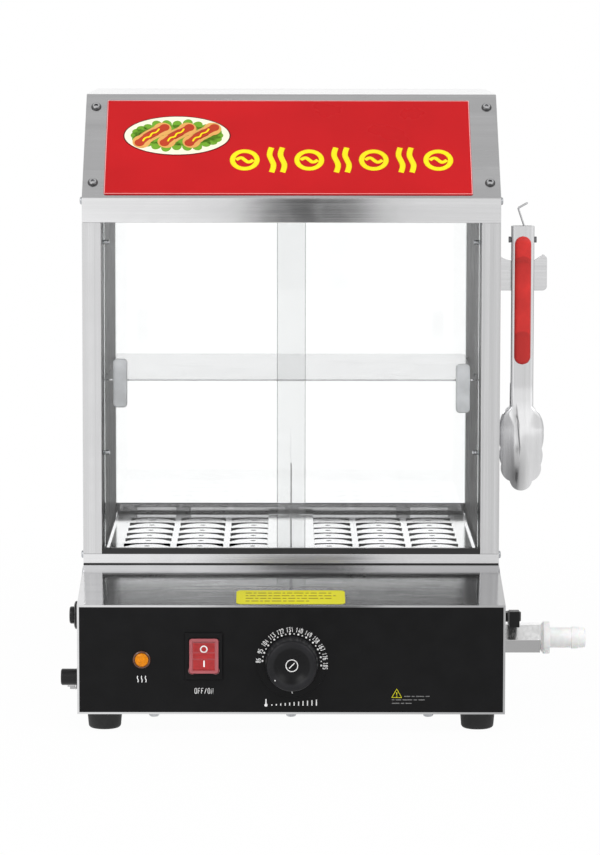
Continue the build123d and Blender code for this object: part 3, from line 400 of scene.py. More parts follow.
along_x, along_y, along_z = (7.0, 1100.0, 1100.0), (1100.0, 7.0, 1100.0), (1100.0, 1100.0, 7.0)
steel_x = steel("brushed_steel_across", along_x)
steel_y = steel("brushed_steel_front_to_back", along_y, offset=3.0)
beam_steel = steel("brushed_steel_beam", along_x, 226, 0.14, offset=7.0)
post_steel = steel("brushed_steel_upright", along_z, 214, offset=6.0)
# The deck carries painted shade towards its right end.
deck_steel = steel("brushed_steel_deck", along_x, 220, 0.07, 0.08, offset=2.0, wear=0.8, relief=0.00018,
                   darkening=(worn_side, 0.66))
liner_steel = steel("bright_liner", along_z, 228, 0.28, 0.16, offset=9.0, smear=0.3,
                    darkening=(steam_stain, 0.34), Metallic=0.5, Specular_Tint=(0.12, 0.12, 0.12, 1.0),
                    Specular_IOR_Level=0.0)
# The shelf carries painted shade on what faces down.
shelf_steel = steel("bright_shelf", along_x, 204, 0.14, 0.06, offset=4.0, darkening=(dull_underside, 0.3))
# The rear rail carries painted shade on its windows' walls.
rail_steel = steel("bright_rail", along_x, 128, 0.1, 0.08, offset=3.3, relief=0.00002,
                   darkening=(window_walls, 0.12))
# The trays carry painted shade on the walls of their slots and lips.
tray_steel = steel("bright_tray", along_x, 247, 0.09, 0.03, 0.05, offset=5.0, smear=0.03,
                   darkening=(slot_walls, 0.05))
# The partition carries painted shade on its edges and side faces.
web_steel = steel("bright_partition", along_z, 244, 0.09, 0.03, 0.05, offset=4.0, darkening=(sheared_edge, 0.12))
roof_steel = steel("brushed_steel_roof", along_x, 246, 0.12, 0.04, 0.06, offset=1.5)
# The tank is painted nearly black for the shade inside it, seen through the trays' slots.
tank_steel_painted_shade = steel("drawn_tank", along_x, 34, 0.5, offset=1.0, Specular_Tint=(0.4, 0.4, 0.4, 1.0))
# The tongs' steel carries painted shade on its flanges, crease, tip and web.
tongs_steel = steel("tongs_steel", along_z, 238, 0.16, 0.1, 0.1, offset=8.0, darkening=(mill_flanks, 0.12))
wire_steel = steel("bright_wire", (400.0, 400.0, 400.0), offset=2.0)


def plated(name, colour, rough, wear_colour, mottle=1.0, darkening=None):
    """Turned and plated metal, such as screws, nuts and the valve."""
    made, shader, _ = material(name, Metallic=1.0)
    stain = noise(point(shader.tree), 240.0, 6.0)
    wear = use(shader.tree, edge_wear, Radius=0.0004, Patchiness=0.7)["Mask"]
    base = drifting(colour, stain, 1 - 0.18 * mottle, 1.08)
    base = veiled(mixed(wear, base, wear_colour), darkening, colour, stain)
    coat(shader, base, ramp(stain, 0.3, 0.7, rough * 0.8, rough * 1.3), stain, 0.12, 0.00005 * mottle)
    return made


zinc = plated("zinc_plate", rgb(188, 190, 193), 0.26, rgb(225, 226, 228))
# The valve's nickel carries painted shade on its lower facets.
nickel = plated("nickel_plate", grey(242), 0.2, grey(240), 0.25, (lower_facets, 0.5))
# The sign's screws carry painted shade on their flanks.
sign_screw_steel = plated("sign_screw_steel", rgb(222, 222, 224), 0.2, rgb(236, 236, 238), 0.4,
                          (tilted_flank, 0.12))
dark_pin = plated("blackened_pin", rgb(120, 120, 122), 0.3, rgb(150, 150, 152))
brass_metal = plated("turned_brass", rgb(196, 160, 92), 0.3, rgb(232, 204, 140))
copper_metal = plated("drawn_copper", rgb(190, 118, 84), 0.34, rgb(226, 160, 122))
element_metal = plated("heated_sheath", rgb(120, 116, 110), 0.42, rgb(160, 156, 150))


# ---------------------------------------------------------------- plastics, rubber, print and glass
def plastic(name, colour, rough=0.4, pits=2600.0, relief=0.15, dusty=0.0, rubbed=None, darkening=None, **fixed):
    """Moulded plastic with pits, slow colour drift, rubbed edges and some dust."""
    made, shader, _ = material(name, **fixed)
    skin = use(shader.tree, moulding, Pits=pits)
    wear = use(shader.tree, edge_wear, Radius=0.0005, Patchiness=0.6)["Mask"]
    lying = use(shader.tree, dust, Amount=dusty)["Mask"]
    base = drifting(colour, skin["Tone"], 0.88, 1.12)
    base = veiled(base, darkening, colour, skin["Tone"])
    worn = mixed(wear * 0.5, base, rubbed or shade(colour, 1.9))
    dull = ramp(skin["Tone"], 0.35, 0.65, rough * 0.88, rough * 1.12) + lying * 0.3
    coat(shader, mixed(lying, worn, rgb(150, 148, 144)), dull, skin["Height"], relief, 0.00005)
    return made


def ink(name, colour, rough=0.3):
    """Screen-printed film: dense colour with a faint print screen and tiny pinholes."""
    made, shader, _ = material(name, Specular_IOR_Level=0.16)
    dots = voronoi(point(shader.tree), 2200.0)
    drift = noise(point(shader.tree), 14.0, 4.0)
    base = drifting(colour, drift, 0.95, 1.05)
    base = mixed(ramp(dots, 0.1, 0.6, 0.0, 0.1), base, shade(colour, 0.8))
    coat(shader, base, ramp(drift, 0.3, 0.7, rough * 0.9, rough * 1.15), dots, 0.05, 0.00003)
    return made


def see_through(name, tint, edge_tint):
    """Clear pane in the XZ plane that lets the lamps' light through; its cut edges are darker."""
    made, shader, output = material(name, IOR=1.46, Transmission_Weight=1.0)
    tree = shader.tree
    smear = use(tree, smudges, Size=30.0)["Patch"]
    clear = mixed(smear, tint, shade(tint, 0.985))
    edge = ramp(abs(facing(tree, "Y")), 0.98, 0.9)
    coat(shader, mixed(edge, clear, edge_tint), smear * 0.004)
    open_way = signal(tree, "ShaderNodeBsdfTransparent", 0, {"Color": shade(tint, 0.96)})
    either = most(ray(tree, "Shadow"), ray(tree, "Diffuse"))
    surface(output, either, shader, open_way)
    return made


def ray(tree, kind):
    return signal(tree, "ShaderNodeLightPath", f"Is {kind} Ray")


def lit_plastic(name, colour, rim, rough, frame_mask=None, **fixed):
    """Translucent coloured cap with a painted sheen: its edges, and a frame where that mask is given, take
    a paler rim colour.
    """
    made, shader, _ = material(name, Transmission_Weight=0.15, IOR=1.49, **fixed)
    ribs = noise(point(shader.tree), 300.0, 2.0)
    # Painted sheen: the cap's rounded edges take the paler rim colour.
    pale = use(shader.tree, edge_wear, Radius=0.0016, Patchiness=0.1)["Mask"]
    if frame_mask:
        pale = most(pale, frame_mask(shader.tree, ribs))
    base = drifting(colour, ribs, 0.88, 1.1)
    coat(shader, mixed(pale, base, rim), ramp(ribs, 0.3, 0.7, rough * 0.7, rough * 1.3), ribs, 0.06, 0.0001)
    return made


soft_black = rgb(30, 30, 31)
black_film = plastic("black_panel_film", rgb(18, 18, 19), 0.34, 1500.0, 0.05, Specular_IOR_Level=0.13)
lever_black = plastic("lever_black", rgb(19, 19, 20), 0.42, rubbed=soft_black, Specular_IOR_Level=0.25)
black_moulded = plastic("black_moulded", rgb(15, 15, 16), 0.24, relief=0.08, rubbed=soft_black,
                        Specular_IOR_Level=0.35)
# The knob carries painted shade on its dished face.
knob_plastic = plastic("satin_knob", rgb(36, 36, 38), 0.3, 3400.0, 0.04, darkening=(knob_face, 0.4),
                       Specular_IOR_Level=0.15)
dial_black = plastic("dial_black", rgb(18, 18, 19), 0.36, relief=0.05, Specular_IOR_Level=0.14)
rocker_black = plastic("rocker_frame", rgb(18, 18, 19), Specular_IOR_Level=0.14)
track_plastic = plastic("extruded_track", rgb(26, 26, 27), 0.3, 900.0, dusty=0.12)
foot_rubber = plastic("foot_rubber", grey(26), 0.62, 1400.0, 0.35, 0.2)
# The grips carry painted shade in their hollows.
grip_red = plastic("grip_red", rgb(212, 50, 46), 0.4, 1800.0, 0.1, rubbed=rgb(228, 96, 84),
                   darkening=(thumb_hollows, 0.72), Specular_IOR_Level=0.3)
white_moulded = plastic("white_moulded", rgb(247, 247, 246), 0.34, relief=0.08, rubbed=rgb(244, 244, 243),
                        Subsurface_Weight=0.15, Subsurface_Scale=0.004)
grey_moulded = plastic("grey_moulded", rgb(150, 152, 152), 0.45, dusty=0.12)
print_white = plastic("printed_white", rgb(250, 250, 249), 0.5, 4200.0, 0.1)
frosted = plastic("frosted_acrylic", rgb(222, 224, 226), 0.42, relief=0.1, rubbed=rgb(240, 241, 242),
                  Transmission_Weight=0.45, IOR=1.45)

sign_red = ink("sign_red", rgb(192, 15, 22))
sign_yellow = ink("sign_yellow", rgb(250, 226, 24))
sign_cream = ink("sign_cream", rgb(246, 238, 214))
sign_green = ink("sign_green", rgb(112, 164, 44))
sign_edge = ink("sign_edge", rgb(236, 176, 176))
sign_outline = ink("sign_outline", rgb(92, 22, 24))
sign_bun = ink("sign_bun", rgb(226, 168, 92))
sign_brown = ink("sign_brown", rgb(186, 62, 34))
print_grey = ink("print_grey", grey(118))
label_olive = ink("label_olive", rgb(160, 138, 40))
label_yellow = ink("label_yellow", rgb(226, 220, 40), 0.36)

clear_glass = see_through("clear_glass", (0.97, 0.975, 0.975, 1.0), rgb(96, 112, 110))
door_glass = see_through("door_glass", (0.86, 0.865, 0.865, 1.0), rgb(70, 80, 79))
# The rocker's and the lamp's caps carry painted sheen on their edges.
rocker_red = lit_plastic("rocker_red", rgb(180, 26, 30), rgb(182, 92, 98), 0.2, rocker_frame,
                         Coat_Weight=0.4, Coat_Roughness=0.08, Specular_IOR_Level=0.3)
lamp_amber = lit_plastic("lamp_amber", rgb(232, 142, 10), rgb(240, 160, 40), 0.24, Specular_IOR_Level=0.15,
                         Emission_Color=rgb(255, 140, 0), Emission_Strength=0.06)
lamp_rim = lit_plastic("lamp_rim", rgb(70, 28, 6), rgb(150, 90, 40), 0.08, Specular_IOR_Level=0.9)


# ---------------------------------------------------------------- modelling helpers, in millimetres
x_axis, y_axis, z_axis = (1, 0, 0), (0, 1, 0), (0, 0, 1)
stroke_thickness = 0.25


def metres(values):
    return [value * mm for value in values]


def deselect():
    if bpy.context.object and bpy.context.object.mode != "OBJECT":
        leave()
    ops.object.select_all(action="DESELECT")


def activate(piece):
    deselect()
    piece.select_set(True)
    bpy.context.view_layer.objects.active = piece


def edit(piece, mode="EDGE", select="SELECT"):
    """Edit mode with everything selected, or nothing."""
    activate(piece)
    ops.object.mode_set(mode="EDIT")
    ops.mesh.select_mode(type=mode)
    ops.mesh.select_all(action=select)


def leave():
    ops.object.mode_set(mode="OBJECT")


def apply(piece):
    activate(piece)
    ops.object.transform_apply(location=True, rotation=True, scale=True)
    return piece


def primitive(add, scale=(1, 1, 1), at_point=(0, 0, 0), turn=0.0, **settings):
    """A primitive with its scale, turn about Z and place put into its mesh."""
    deselect()
    add(**settings)
    piece = bpy.context.object
    piece.scale = scale
    piece.rotation_euler = (0, 0, turn)
    piece.location = metres(at_point)
    return apply(piece)


def cube(size, at_point=(0, 0, 0), turn=0.0):
    return primitive(ops.mesh.primitive_cube_add, metres(size), at_point, turn, size=1)


def place(piece, location, turn):
    """Turns a finished piece by degrees and moves it."""
    piece.location = metres(location)
    piece.rotation_euler = [math.radians(angle) for angle in turn]
    return apply(piece)


def modify(piece, kind, **settings):
    activate(piece)
    modifier = piece.modifiers.new(kind.lower(), kind)
    for key, value in settings.items():
        setattr(modifier, key, value)
    ops.object.modifier_apply(modifier=modifier.name)


def bevel(piece, width, segments=2, angle=30, **settings):
    modify(piece, "BEVEL", width=width * mm, segments=segments, limit_method="ANGLE",
           angle_limit=math.radians(angle), **settings)


def smooth(piece, angle=42):
    """Smooth shading that keeps flat faces flat."""
    activate(piece)
    ops.object.shade_smooth_by_angle(angle=math.radians(angle))
    modify(piece, "WEIGHTED_NORMAL", weight=100, keep_sharp=True)


def outward(piece):
    edit(piece)
    ops.mesh.remove_doubles(threshold=1e-6)
    ops.mesh.normals_make_consistent(inside=False)
    leave()


def dress(piece, name, body, finish, slot, *replaced):
    """Name, material, body and the nodes that the piece stands for; slot is not used."""
    piece.name = piece.data.name = name
    piece.data.materials.clear()
    piece.data.materials.append(finish)
    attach(piece, body)
    if replaced:
        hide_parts(*replaced)
    return piece


def linked(name, data):
    made = bpy.data.objects.new(name, data)
    bpy.context.collection.objects.link(made)
    return made


def merged_copy(name):
    """A copy of a node's mesh with its loose triangles joined into clean faces."""
    piece = linked(name + "_copy", nodes[name].data.copy())
    edit(piece, "VERT")
    ops.mesh.remove_doubles(threshold=2e-6)
    ops.mesh.dissolve_limited(angle_limit=math.radians(0.6))
    leave()
    return piece


def join(parts):
    deselect()
    for part in parts:
        part.select_set(True)
    bpy.context.view_layer.objects.active = parts[0]
    ops.object.join()
    return bpy.context.object


def turned(profile, steps=48):
    """Turned form about +Z: a circle extruded and scaled along (radius, height) points."""
    radius, height = profile[0]
    piece = primitive(ops.mesh.primitive_circle_add, at_point=(0, 0, height), vertices=steps,
                      radius=radius * mm)
    edit(piece)
    ops.mesh.edge_face_add()
    for next_radius, next_height in profile[1:]:
        ops.mesh.extrude_edges_move(TRANSFORM_OT_translate={"value": (0, 0, (next_height - height) * mm)})
        factor = next_radius / radius
        ops.transform.resize(value=(factor, factor, 1), center_override=(0, 0, next_height * mm))
        radius, height = next_radius, next_height
    ops.mesh.edge_face_add()
    leave()
    outward(piece)
    return piece


def wire(points, width, cyclic=False, kind="NURBS", around=2, between=6):
    """Round line through points, with steps around it and between the points."""
    curve = bpy.data.curves.new("wire", "CURVE")
    curve.dimensions = "3D"
    spline = curve.splines.new(kind)
    spline.points.add(len(points) - 1)
    for knot, place_at in zip(spline.points, points):
        knot.co = (*metres(place_at), 1)
    spline.use_cyclic_u = cyclic
    if kind == "NURBS":
        spline.order_u = 3
        spline.use_endpoint_u = not cyclic
    spline.resolution_u = between
    curve.bevel_depth = width / 2 * mm
    curve.bevel_resolution = around
    curve.use_fill_caps = True
    activate(linked("wire", curve))
    ops.object.convert(target="MESH")
    return bpy.context.object


def stroke(points, width, cyclic=False, kind="NURBS"):
    """Flattened round-ended line through points in the XY plane."""
    piece = wire([(x, y, 0) for x, y in points], width, cyclic, kind)
    piece.scale = (1, 1, stroke_thickness / width)
    return apply(piece)


def bar(x, low, high, width):
    return stroke([(x, low), (x, high)], width, kind="POLY")


def loop(x, y, rx, ry, width, steps):
    """Closed ring as a stroke."""
    turns = [2 * math.pi * k / steps for k in range(steps)]
    return stroke([(x + rx * math.cos(a), y + ry * math.sin(a)) for a in turns], width, cyclic=True)


def wave(x, low, high, sway, width):
    """Upright heat wave as a stroke."""
    sways = (0, sway, 0, -sway, 0)
    return stroke([(x + dx, low + (high - low) * k / 4) for k, dx in enumerate(sways)], width)


def patch(x, y, rx, ry, turn=0.0, steps=40, thickness=0.2):
    """Flat elliptical film with a soft edge."""
    piece = primitive(ops.mesh.primitive_circle_add, (rx * mm, ry * mm, 1), (x, y, 0), turn,
                      vertices=steps, radius=1, fill_type="NGON")
    edit(piece, "FACE")
    ops.mesh.extrude_region_move(TRANSFORM_OT_translate={"value": (0, 0, thickness * mm)})
    ops.mesh.inset(thickness=thickness * mm)
    ops.transform.translate(value=(0, 0, thickness * 0.2 * mm))
    leave()
    return piece


def dashes(rows, width, gap, lengths=(5.2, 2.4, 7.0, 3.4, 6.1, 2.2, 4.6, 8.2, 3.0, 5.4, 6.6, 2.8)):
    """Rows of plain dashes of uneven length; each row is (start, end, y)."""
    parts = []
    for row, (x, end, y) in enumerate(rows):
        k = 5 * row
        while x + lengths[k % len(lengths)] <= end:
            far = x + lengths[k % len(lengths)]
            parts.append(stroke([(x, y), (far, y)], width, kind="POLY"))
            x, k = far + gap, k + 1
    return join(parts)


def lay(piece, origin, across, upward):
    """Puts a piece made in the XY plane on a surface; across and upward are that surface's X and Y."""
    x, y = Vector(across).normalized(), Vector(upward).normalized()
    turn = Matrix((x, y, x.cross(y))).transposed().to_4x4()
    piece.data.transform(Matrix.Translation(metres(origin)) @ turn)
    return piece


# ---------------------------------------------------------------- the nodes' own shapes
# Rounded copies of nodes: finish, slot, width of the rounding and the nodes.
for finish, slot, width, names in (
    (deck_steel, "stainless", 0.5, "base_front_panel"),
    (steel_y, "stainless", 0.4, "base_side_left base_side_right"),
    (steel_x, "stainless", 0.4, "base_back_panel"),
    (post_steel, "stainless", 0.4, "side_skin_left side_skin_right"),
    (beam_steel, "stainless", 0.4, "front_top_beam front_bottom_beam"),
    (roof_steel, "stainless", 0.4, "roof_panel"),
    (steel_x, "stainless", 0.4, "hood_front"),
    (liner_steel, "polished_steel", 0.2, "side_liner_left side_liner_right"),
    (rail_steel, "polished_steel", 0.3, "rear_bottom_rail rear_top_rail"),
    (shelf_steel, "polished_steel", 0.4, "shelf"),
    (web_steel, "polished_steel", 0.3, "partition"),
    (beam_steel, "stainless", 0.3, "tongs_bracket"),
    (track_plastic, "black_plastic", 0.3, "door_track_bottom door_track_top"),
    (black_film, "black_film", 0.1, "panel_overlay"),
    (nickel, "stainless", 0.6, "valve_body"),
    (lever_black, "black_plastic", 1.2, "valve_lever"),
    (white_moulded, "white_plastic", 0.6, "hose_barb"),
    (black_moulded, "black_plastic", 0.6, "reset_housing reset_button cable_gland"),
    (rocker_black, "black_plastic", 0.6, "rocker_housing"),
    (frosted, "frosted_pull", 0.6, "door_pull_left door_pull_right"),
    (door_glass, "door_glass", 0.7, "door_glass_left door_glass_right"),
    (clear_glass, "door_glass", 0.4, "rear_glass"),
    (lamp_rim, "lamp", 0.4, "lamp_bezel"),
    (lamp_amber, "lamp", 0.4, "lamp_lens"),
    (white_moulded, "white_plastic", 0.6, "terminal_block"),
    (grey_moulded, "grey_plastic", 0.6, "thermostat_body"),
):
    for name in names.split():
        piece = merged_copy(name)
        bevel(piece, width, angle=28, harden_normals=False)
        smooth(piece)
        dress(piece, name + "_soft", body_of[name], finish, slot, name)

# Nodes that are seen as they are.
for finish, names in (
    (steel_x, "bottom_plate"), (foot_rubber, "feet"), (dial_black, "dial_plate"), (sign_red, "sign_plate"),
    (zinc, "thermostat_shaft liner_studs"), (copper_metal, "thermostat_probe"), (tank_steel_painted_shade, "water_tank"),
    (element_metal, "heating_element"), (brass_metal, "drain_pipe"), (tray_steel, "tray_left tray_right"),
    (dark_pin, "tongs_pin"), (wire_steel, "tongs_ring"),
):
    for name in names.split():
        nodes[name].data.materials.clear()
        nodes[name].data.materials.append(finish)


# ---------------------------------------------------------------- controls on the front panel
film_y = -205.5                 # outer face of the panel's film
dial_x, dial_z = 0.5, 61.6
lamp_x, lamp_z = -127.4, 64.2
rocker_x, rocker_z, rocker_pivot_y = -74.4, 67.3, -204.0
to_front = (90, 0, 0)


def lay_front(piece, x=0.0, z=0.0, out=0.02):
    """Puts a flat piece on the panel's film, or further out."""
    return lay(piece, (x, film_y - out, z), x_axis, z_axis)


def knob():
    outline = (
        (22.9, 1.35), (22.9, 2.9), (22.7, 3.6), (22.4, 4.4), (22.2, 10.0), (22.0, 15.8), (21.7, 18.0),
        (21.2, 19.2), (20.4, 19.9), (19.3, 20.25), (17.9, 20.2), (16.2, 19.6), (14.6, 18.7), (12.8, 17.5),
        (10.8, 16.4), (8.6, 15.6), (6.2, 15.15), (3.4, 15.0), (1.2, 15.0),
    )
    body = place(turned(outline, steps=96), (dial_x, film_y, dial_z), to_front)
    smooth(body, 50)
    dress(body, "thermostat_knob_body", "thermostat_knob", knob_plastic, "black_plastic", "thermostat_knob")
    slash = stroke([(-2.3, -2.3), (0, 0), (2.3, 2.3)], 0.9)
    mark = join([loop(0, 0, 5.05, 5.05, 0.8, 24), slash])
    lay_front(mark, dial_x, dial_z, 15.2)
    dress(mark, "knob_ring_print", "thermostat_knob", print_white, "dial")
    angle, reach, out = math.radians(220), 18.7, 19.9
    dot = turned(((0.8, 0), (0.8, 0.2), (0.6, 0.32), (0.2, 0.38)), steps=16)
    place(dot, (dial_x + reach * math.cos(angle), film_y - out, dial_z + reach * math.sin(angle)), to_front)
    dress(dot, "knob_pointer_dot", "thermostat_knob", print_white, "dial")


# Strokes of narrow characters on a square of 1 x 1.
oval = ((0, 0.2), (0, 0.8), (0.25, 1), (0.75, 1), (1, 0.8), (1, 0.2), (0.75, 0), (0.25, 0), (0, 0.2))
condensed_strokes = {
    "0": [oval],
    "1": [((0.15, 0.8), (0.6, 1), (0.6, 0))],
    "2": [((0, 0.8), (0.25, 1), (0.75, 1), (1, 0.8), (1, 0.62), (0, 0), (1, 0))],
    "3": [((0, 1), (1, 1), (0.5, 0.58), (1, 0.4), (1, 0.16), (0.75, 0), (0.25, 0), (0, 0.15))],
    "4": [((0.75, 0), (0.75, 1), (0, 0.3), (1, 0.3))],
    "5": [((0.95, 1), (0.1, 1), (0.05, 0.56), (0.7, 0.58), (1, 0.42), (1, 0.16), (0.75, 0), (0, 0.05))],
    "6": [((0.9, 1), (0.25, 0.9), (0, 0.6), (0, 0.18), (0.25, 0), (0.75, 0), (1, 0.18), (1, 0.4),
           (0.75, 0.56), (0, 0.5))],
    "7": [((0, 1), (1, 1), (0.35, 0))],
    "8": [((0.5, 0.53), (0.05, 0.72), (0.2, 1), (0.8, 1), (0.95, 0.72), (0.5, 0.53), (0, 0.3), (0.2, 0),
           (0.8, 0), (1, 0.3), (0.5, 0.53))],
    "9": [((0.1, 0), (0.75, 0.1), (1, 0.4), (1, 0.82), (0.75, 1), (0.25, 1), (0, 0.82), (0, 0.6),
           (0.25, 0.44), (1, 0.5))],
    "O": [oval],
    "F": [((0, 0), (0, 1), (1, 1)), ((0, 0.53), (0.8, 0.53))],
    "N": [((0, 0), (0, 1), (1, 0), (1, 1))],
    "/": [((0, 0), (0.9, 1))],
}


def condensed(word, x, y, wide, tall, gap, width, turn=0.0):
    """Narrow characters drawn with one stroke width, centred on (x, y) and turned about there."""
    parts, left = [], -(len(word) * (wide + gap) - gap) / 2
    cos, sin = math.cos(turn), math.sin(turn)
    for k, letter in enumerate(word):
        for line in condensed_strokes[letter]:
            flat = [(left + k * (wide + gap) + a * wide, (b - 0.5) * tall) for a, b in line]
            points = [(x + a * cos - b * sin, y + a * sin + b * cos) for a, b in flat]
            parts.append(stroke(points, width, kind="POLY"))
    return parts


def dial_print():
    """Plain numbers with a dot under and between them, and an index mark."""
    parts, values = [], range(86, 186, 9)
    first, last, number_radius, dot_radius = 176.0, -5.0, 28.6, 25.1
    step = (first - last) / (len(values) - 1)
    for i, value in enumerate(values):
        angle = math.radians(first - i * step)
        parts += condensed(str(value), number_radius * math.cos(angle), number_radius * math.sin(angle),
                           1.2, 3.8, 0.95, 0.6, angle - math.pi / 2)
    for i in range(2 * len(values) - 1):
        angle = math.radians(first - i * step / 2)
        r = 0.85 if i % 2 == 0 else 0.58
        parts.append(patch(dot_radius * math.cos(angle), dot_radius * math.sin(angle), r, r, steps=14,
                           thickness=0.08))
    parts.append(stroke([(0.6, -24.0), (-0.3, -25.2), (0.6, -26.4)], 0.6))
    marks = lay_front(join(parts), dial_x, dial_z, 1.02)
    dress(marks, "dial_numbers_print", "housing", print_white, "dial")


def panel_prints():
    """Heat waves under the lamp, the switch's words and a rising temperature scale."""
    parts = [wave(lamp_x + dx, 44.6, 50.2, 0.55, 0.8) for dx in (-3.4, 0, 3.4)]
    parts += condensed("OFF/ON", rocker_x, 37.2, 1.55, 4.5, 1.25, 0.5)
    parts += [bar(-21.5, 25.6, 30.2, 1.1), patch(-21.5, 25.0, 1.35, 1.35, steps=24, thickness=0.1)]
    parts += [bar(-16.5 + 3.8 * k, 24.6, 25.6 + 0.42 * k, 1.0) for k in range(11)]
    dress(lay_front(join(parts)), "panel_symbols_print", "housing", print_white, "black_film")


def caution_mark():
    """Plain caution triangle with three dim rows of dashes."""
    x, z = 90.0, 35.0
    corners = [(x - 4.2, z - 3.4), (x + 4.2, z - 3.4), (x, z + 4.0)]
    triangle = join([stroke(corners, 0.9, cyclic=True, kind="POLY"), bar(x, z + 1.2, z - 0.9, 0.8),
                     patch(x, z - 2.1, 0.45, 0.45, steps=16)])
    dress(lay_front(triangle), "panel_caution_triangle", "housing", label_yellow, "black_film")
    rows = dashes(((96.4, 121, 32.6), (85.8, 121, 29.6), (85.8, 105, 26.6)), 0.9, 1.2)
    dress(lay_front(rows), "panel_caution_dashes", "housing", print_grey, "black_film")


def rocker():
    """Cap with two dished faces at a shallow V, framed, and its two marks."""
    wide, tall, deep = 24.8, 29.7, 12.0
    end_y, dip_y, back_y, tilt = 7.2, 4.2, 5.8, -7
    piece = cube((wide, deep, tall - 0.2))
    edit(piece, select="DESELECT")
    leave()
    for edge in piece.data.edges:
        ends = [piece.data.vertices[k].co for k in edge.vertices]
        edge.select = abs(ends[0].y - ends[1].y) > 5 * mm
    ops.object.mode_set(mode="EDIT")
    ops.mesh.bevel(offset=2.4 * mm, segments=6)
    ops.mesh.select_all(action="SELECT")
    ops.mesh.bisect(plane_co=(0, 0, 0), plane_no=z_axis)
    leave()
    for vertex in piece.data.vertices:
        rise = (end_y - dip_y) * abs(vertex.co.z) / (tall / 2)
        vertex.co.y = -dip_y * mm - rise if vertex.co.y < 0 else back_y * mm
    outward(piece)
    place(piece, (rocker_x, rocker_pivot_y, rocker_z), (tilt, 0, 0))
    for face in piece.data.polygons:
        face.select = face.normal.y < -0.9 and face.area > 80 * mm * mm
    activate(piece)
    ops.object.mode_set(mode="EDIT")
    ops.mesh.inset(thickness=2.6 * mm, use_individual=True)
    ops.mesh.inset(thickness=0.35 * mm, depth=-0.4 * mm, use_individual=True)
    leave()
    bevel(piece, 0.45, 3, 40)
    smooth(piece)
    dress(piece, "rocker_cap", "rocker", rocker_red, "rocker", "rocker_button")

    def on_cap(mark, x, z):
        _, seat, normal, _ = piece.ray_cast((x * mm, -0.3, z * mm), y_axis)
        return lay(mark, seat / mm + normal * 0.03, x_axis, normal.cross(Vector(x_axis)))

    ring = on_cap(loop(0, 0, 2.75, 2.75, 1.15, 20), -74.4, 73.6)
    line = on_cap(bar(0, -2.7, 2.7, 1.3), -74.2, 61.4)
    dress(join([ring, line]), "rocker_marks_print", "rocker", print_white, "rocker")


def lamp_cap():
    outline = ((5.0, 0.65), (5.65, 0.65), (5.65, 2.6), (5.3, 3.1), (4.6, 3.5), (3.4, 3.85), (1.8, 4.05),
               (0.5, 4.1))
    lens = place(turned(outline), (lamp_x, film_y, lamp_z), to_front)
    smooth(lens, 40)
    dress(lens, "lamp_lens_cap", "housing", lamp_amber, "lamp", "lamp_lens")


def deck_label():
    """Yellow label with rounded corners on the deck, with rows of dashes."""
    run, rise, up_slope, x = 112.4, 19.0, 21.2, -0.5
    slope = (0, run, rise)
    y, z = -205 + up_slope, 111 + up_slope * rise / run
    label = primitive(ops.mesh.primitive_plane_add, (93 * mm, 36.9 * mm, 1), size=1)
    edit(label, "VERT")
    ops.mesh.bevel(offset=4.6 * mm, segments=8, affect="VERTICES")
    ops.mesh.select_all(action="SELECT")
    ops.mesh.extrude_region_move(TRANSFORM_OT_translate={"value": (0, 0, 0.12 * mm)})
    leave()
    outward(label)
    lay(label, (x, y, z + 0.05), x_axis, slope)
    dress(label, "deck_label_blank", "housing", label_yellow, "sign")
    rows = dashes(((-38.5, 40, 11.2), (-38.5, 40, 4.0), (-38.5, 40, -3.2), (-38.5, 22, -10.4)), 2.2, 1.5)
    lay(rows, (x, y, z + 0.22), x_axis, slope)
    dress(rows, "deck_label_dashes", "housing", label_olive, "sign")


def rounded_strip(name, size, middle, width, finish, slot):
    strip = cube(size, middle)
    modify(strip, "BEVEL", width=width * mm, segments=2)
    smooth(strip)
    dress(strip, name, "housing", finish, slot)


knob()
# A dark strip of painted shade in the gap between the cabinet and the base, and the sheet seen through the
# rear rail's windows.
rounded_strip("cabinet_seal_bead", (364.6, 1.2, 1.3), (0, -92.9, 130.3), 0.4, foot_rubber, "black_plastic")
rounded_strip("rear_rail_inner_sheet", (330, 0.8, 6.6), (0, 195.4, 140.6), 0.2, shelf_steel,
              "polished_steel")
dial_print()
panel_prints()
caution_mark()
rocker()
lamp_cap()
deck_label()


# ---------------------------------------------------------------- sign
hood_foot = Vector((0, -92.6, 451.6))
hood_slope = Vector((0, 98.0, 87.4)).normalized()
hood_normal = Vector(x_axis).cross(hood_slope)


def film(parts, name, finish, lift=0.82):
    """Joins flat parts and lays them on the leaning face."""
    piece = lay(join(parts), hood_foot + hood_normal * lift, x_axis, hood_slope)
    dress(piece, name, "housing", finish, "sign")


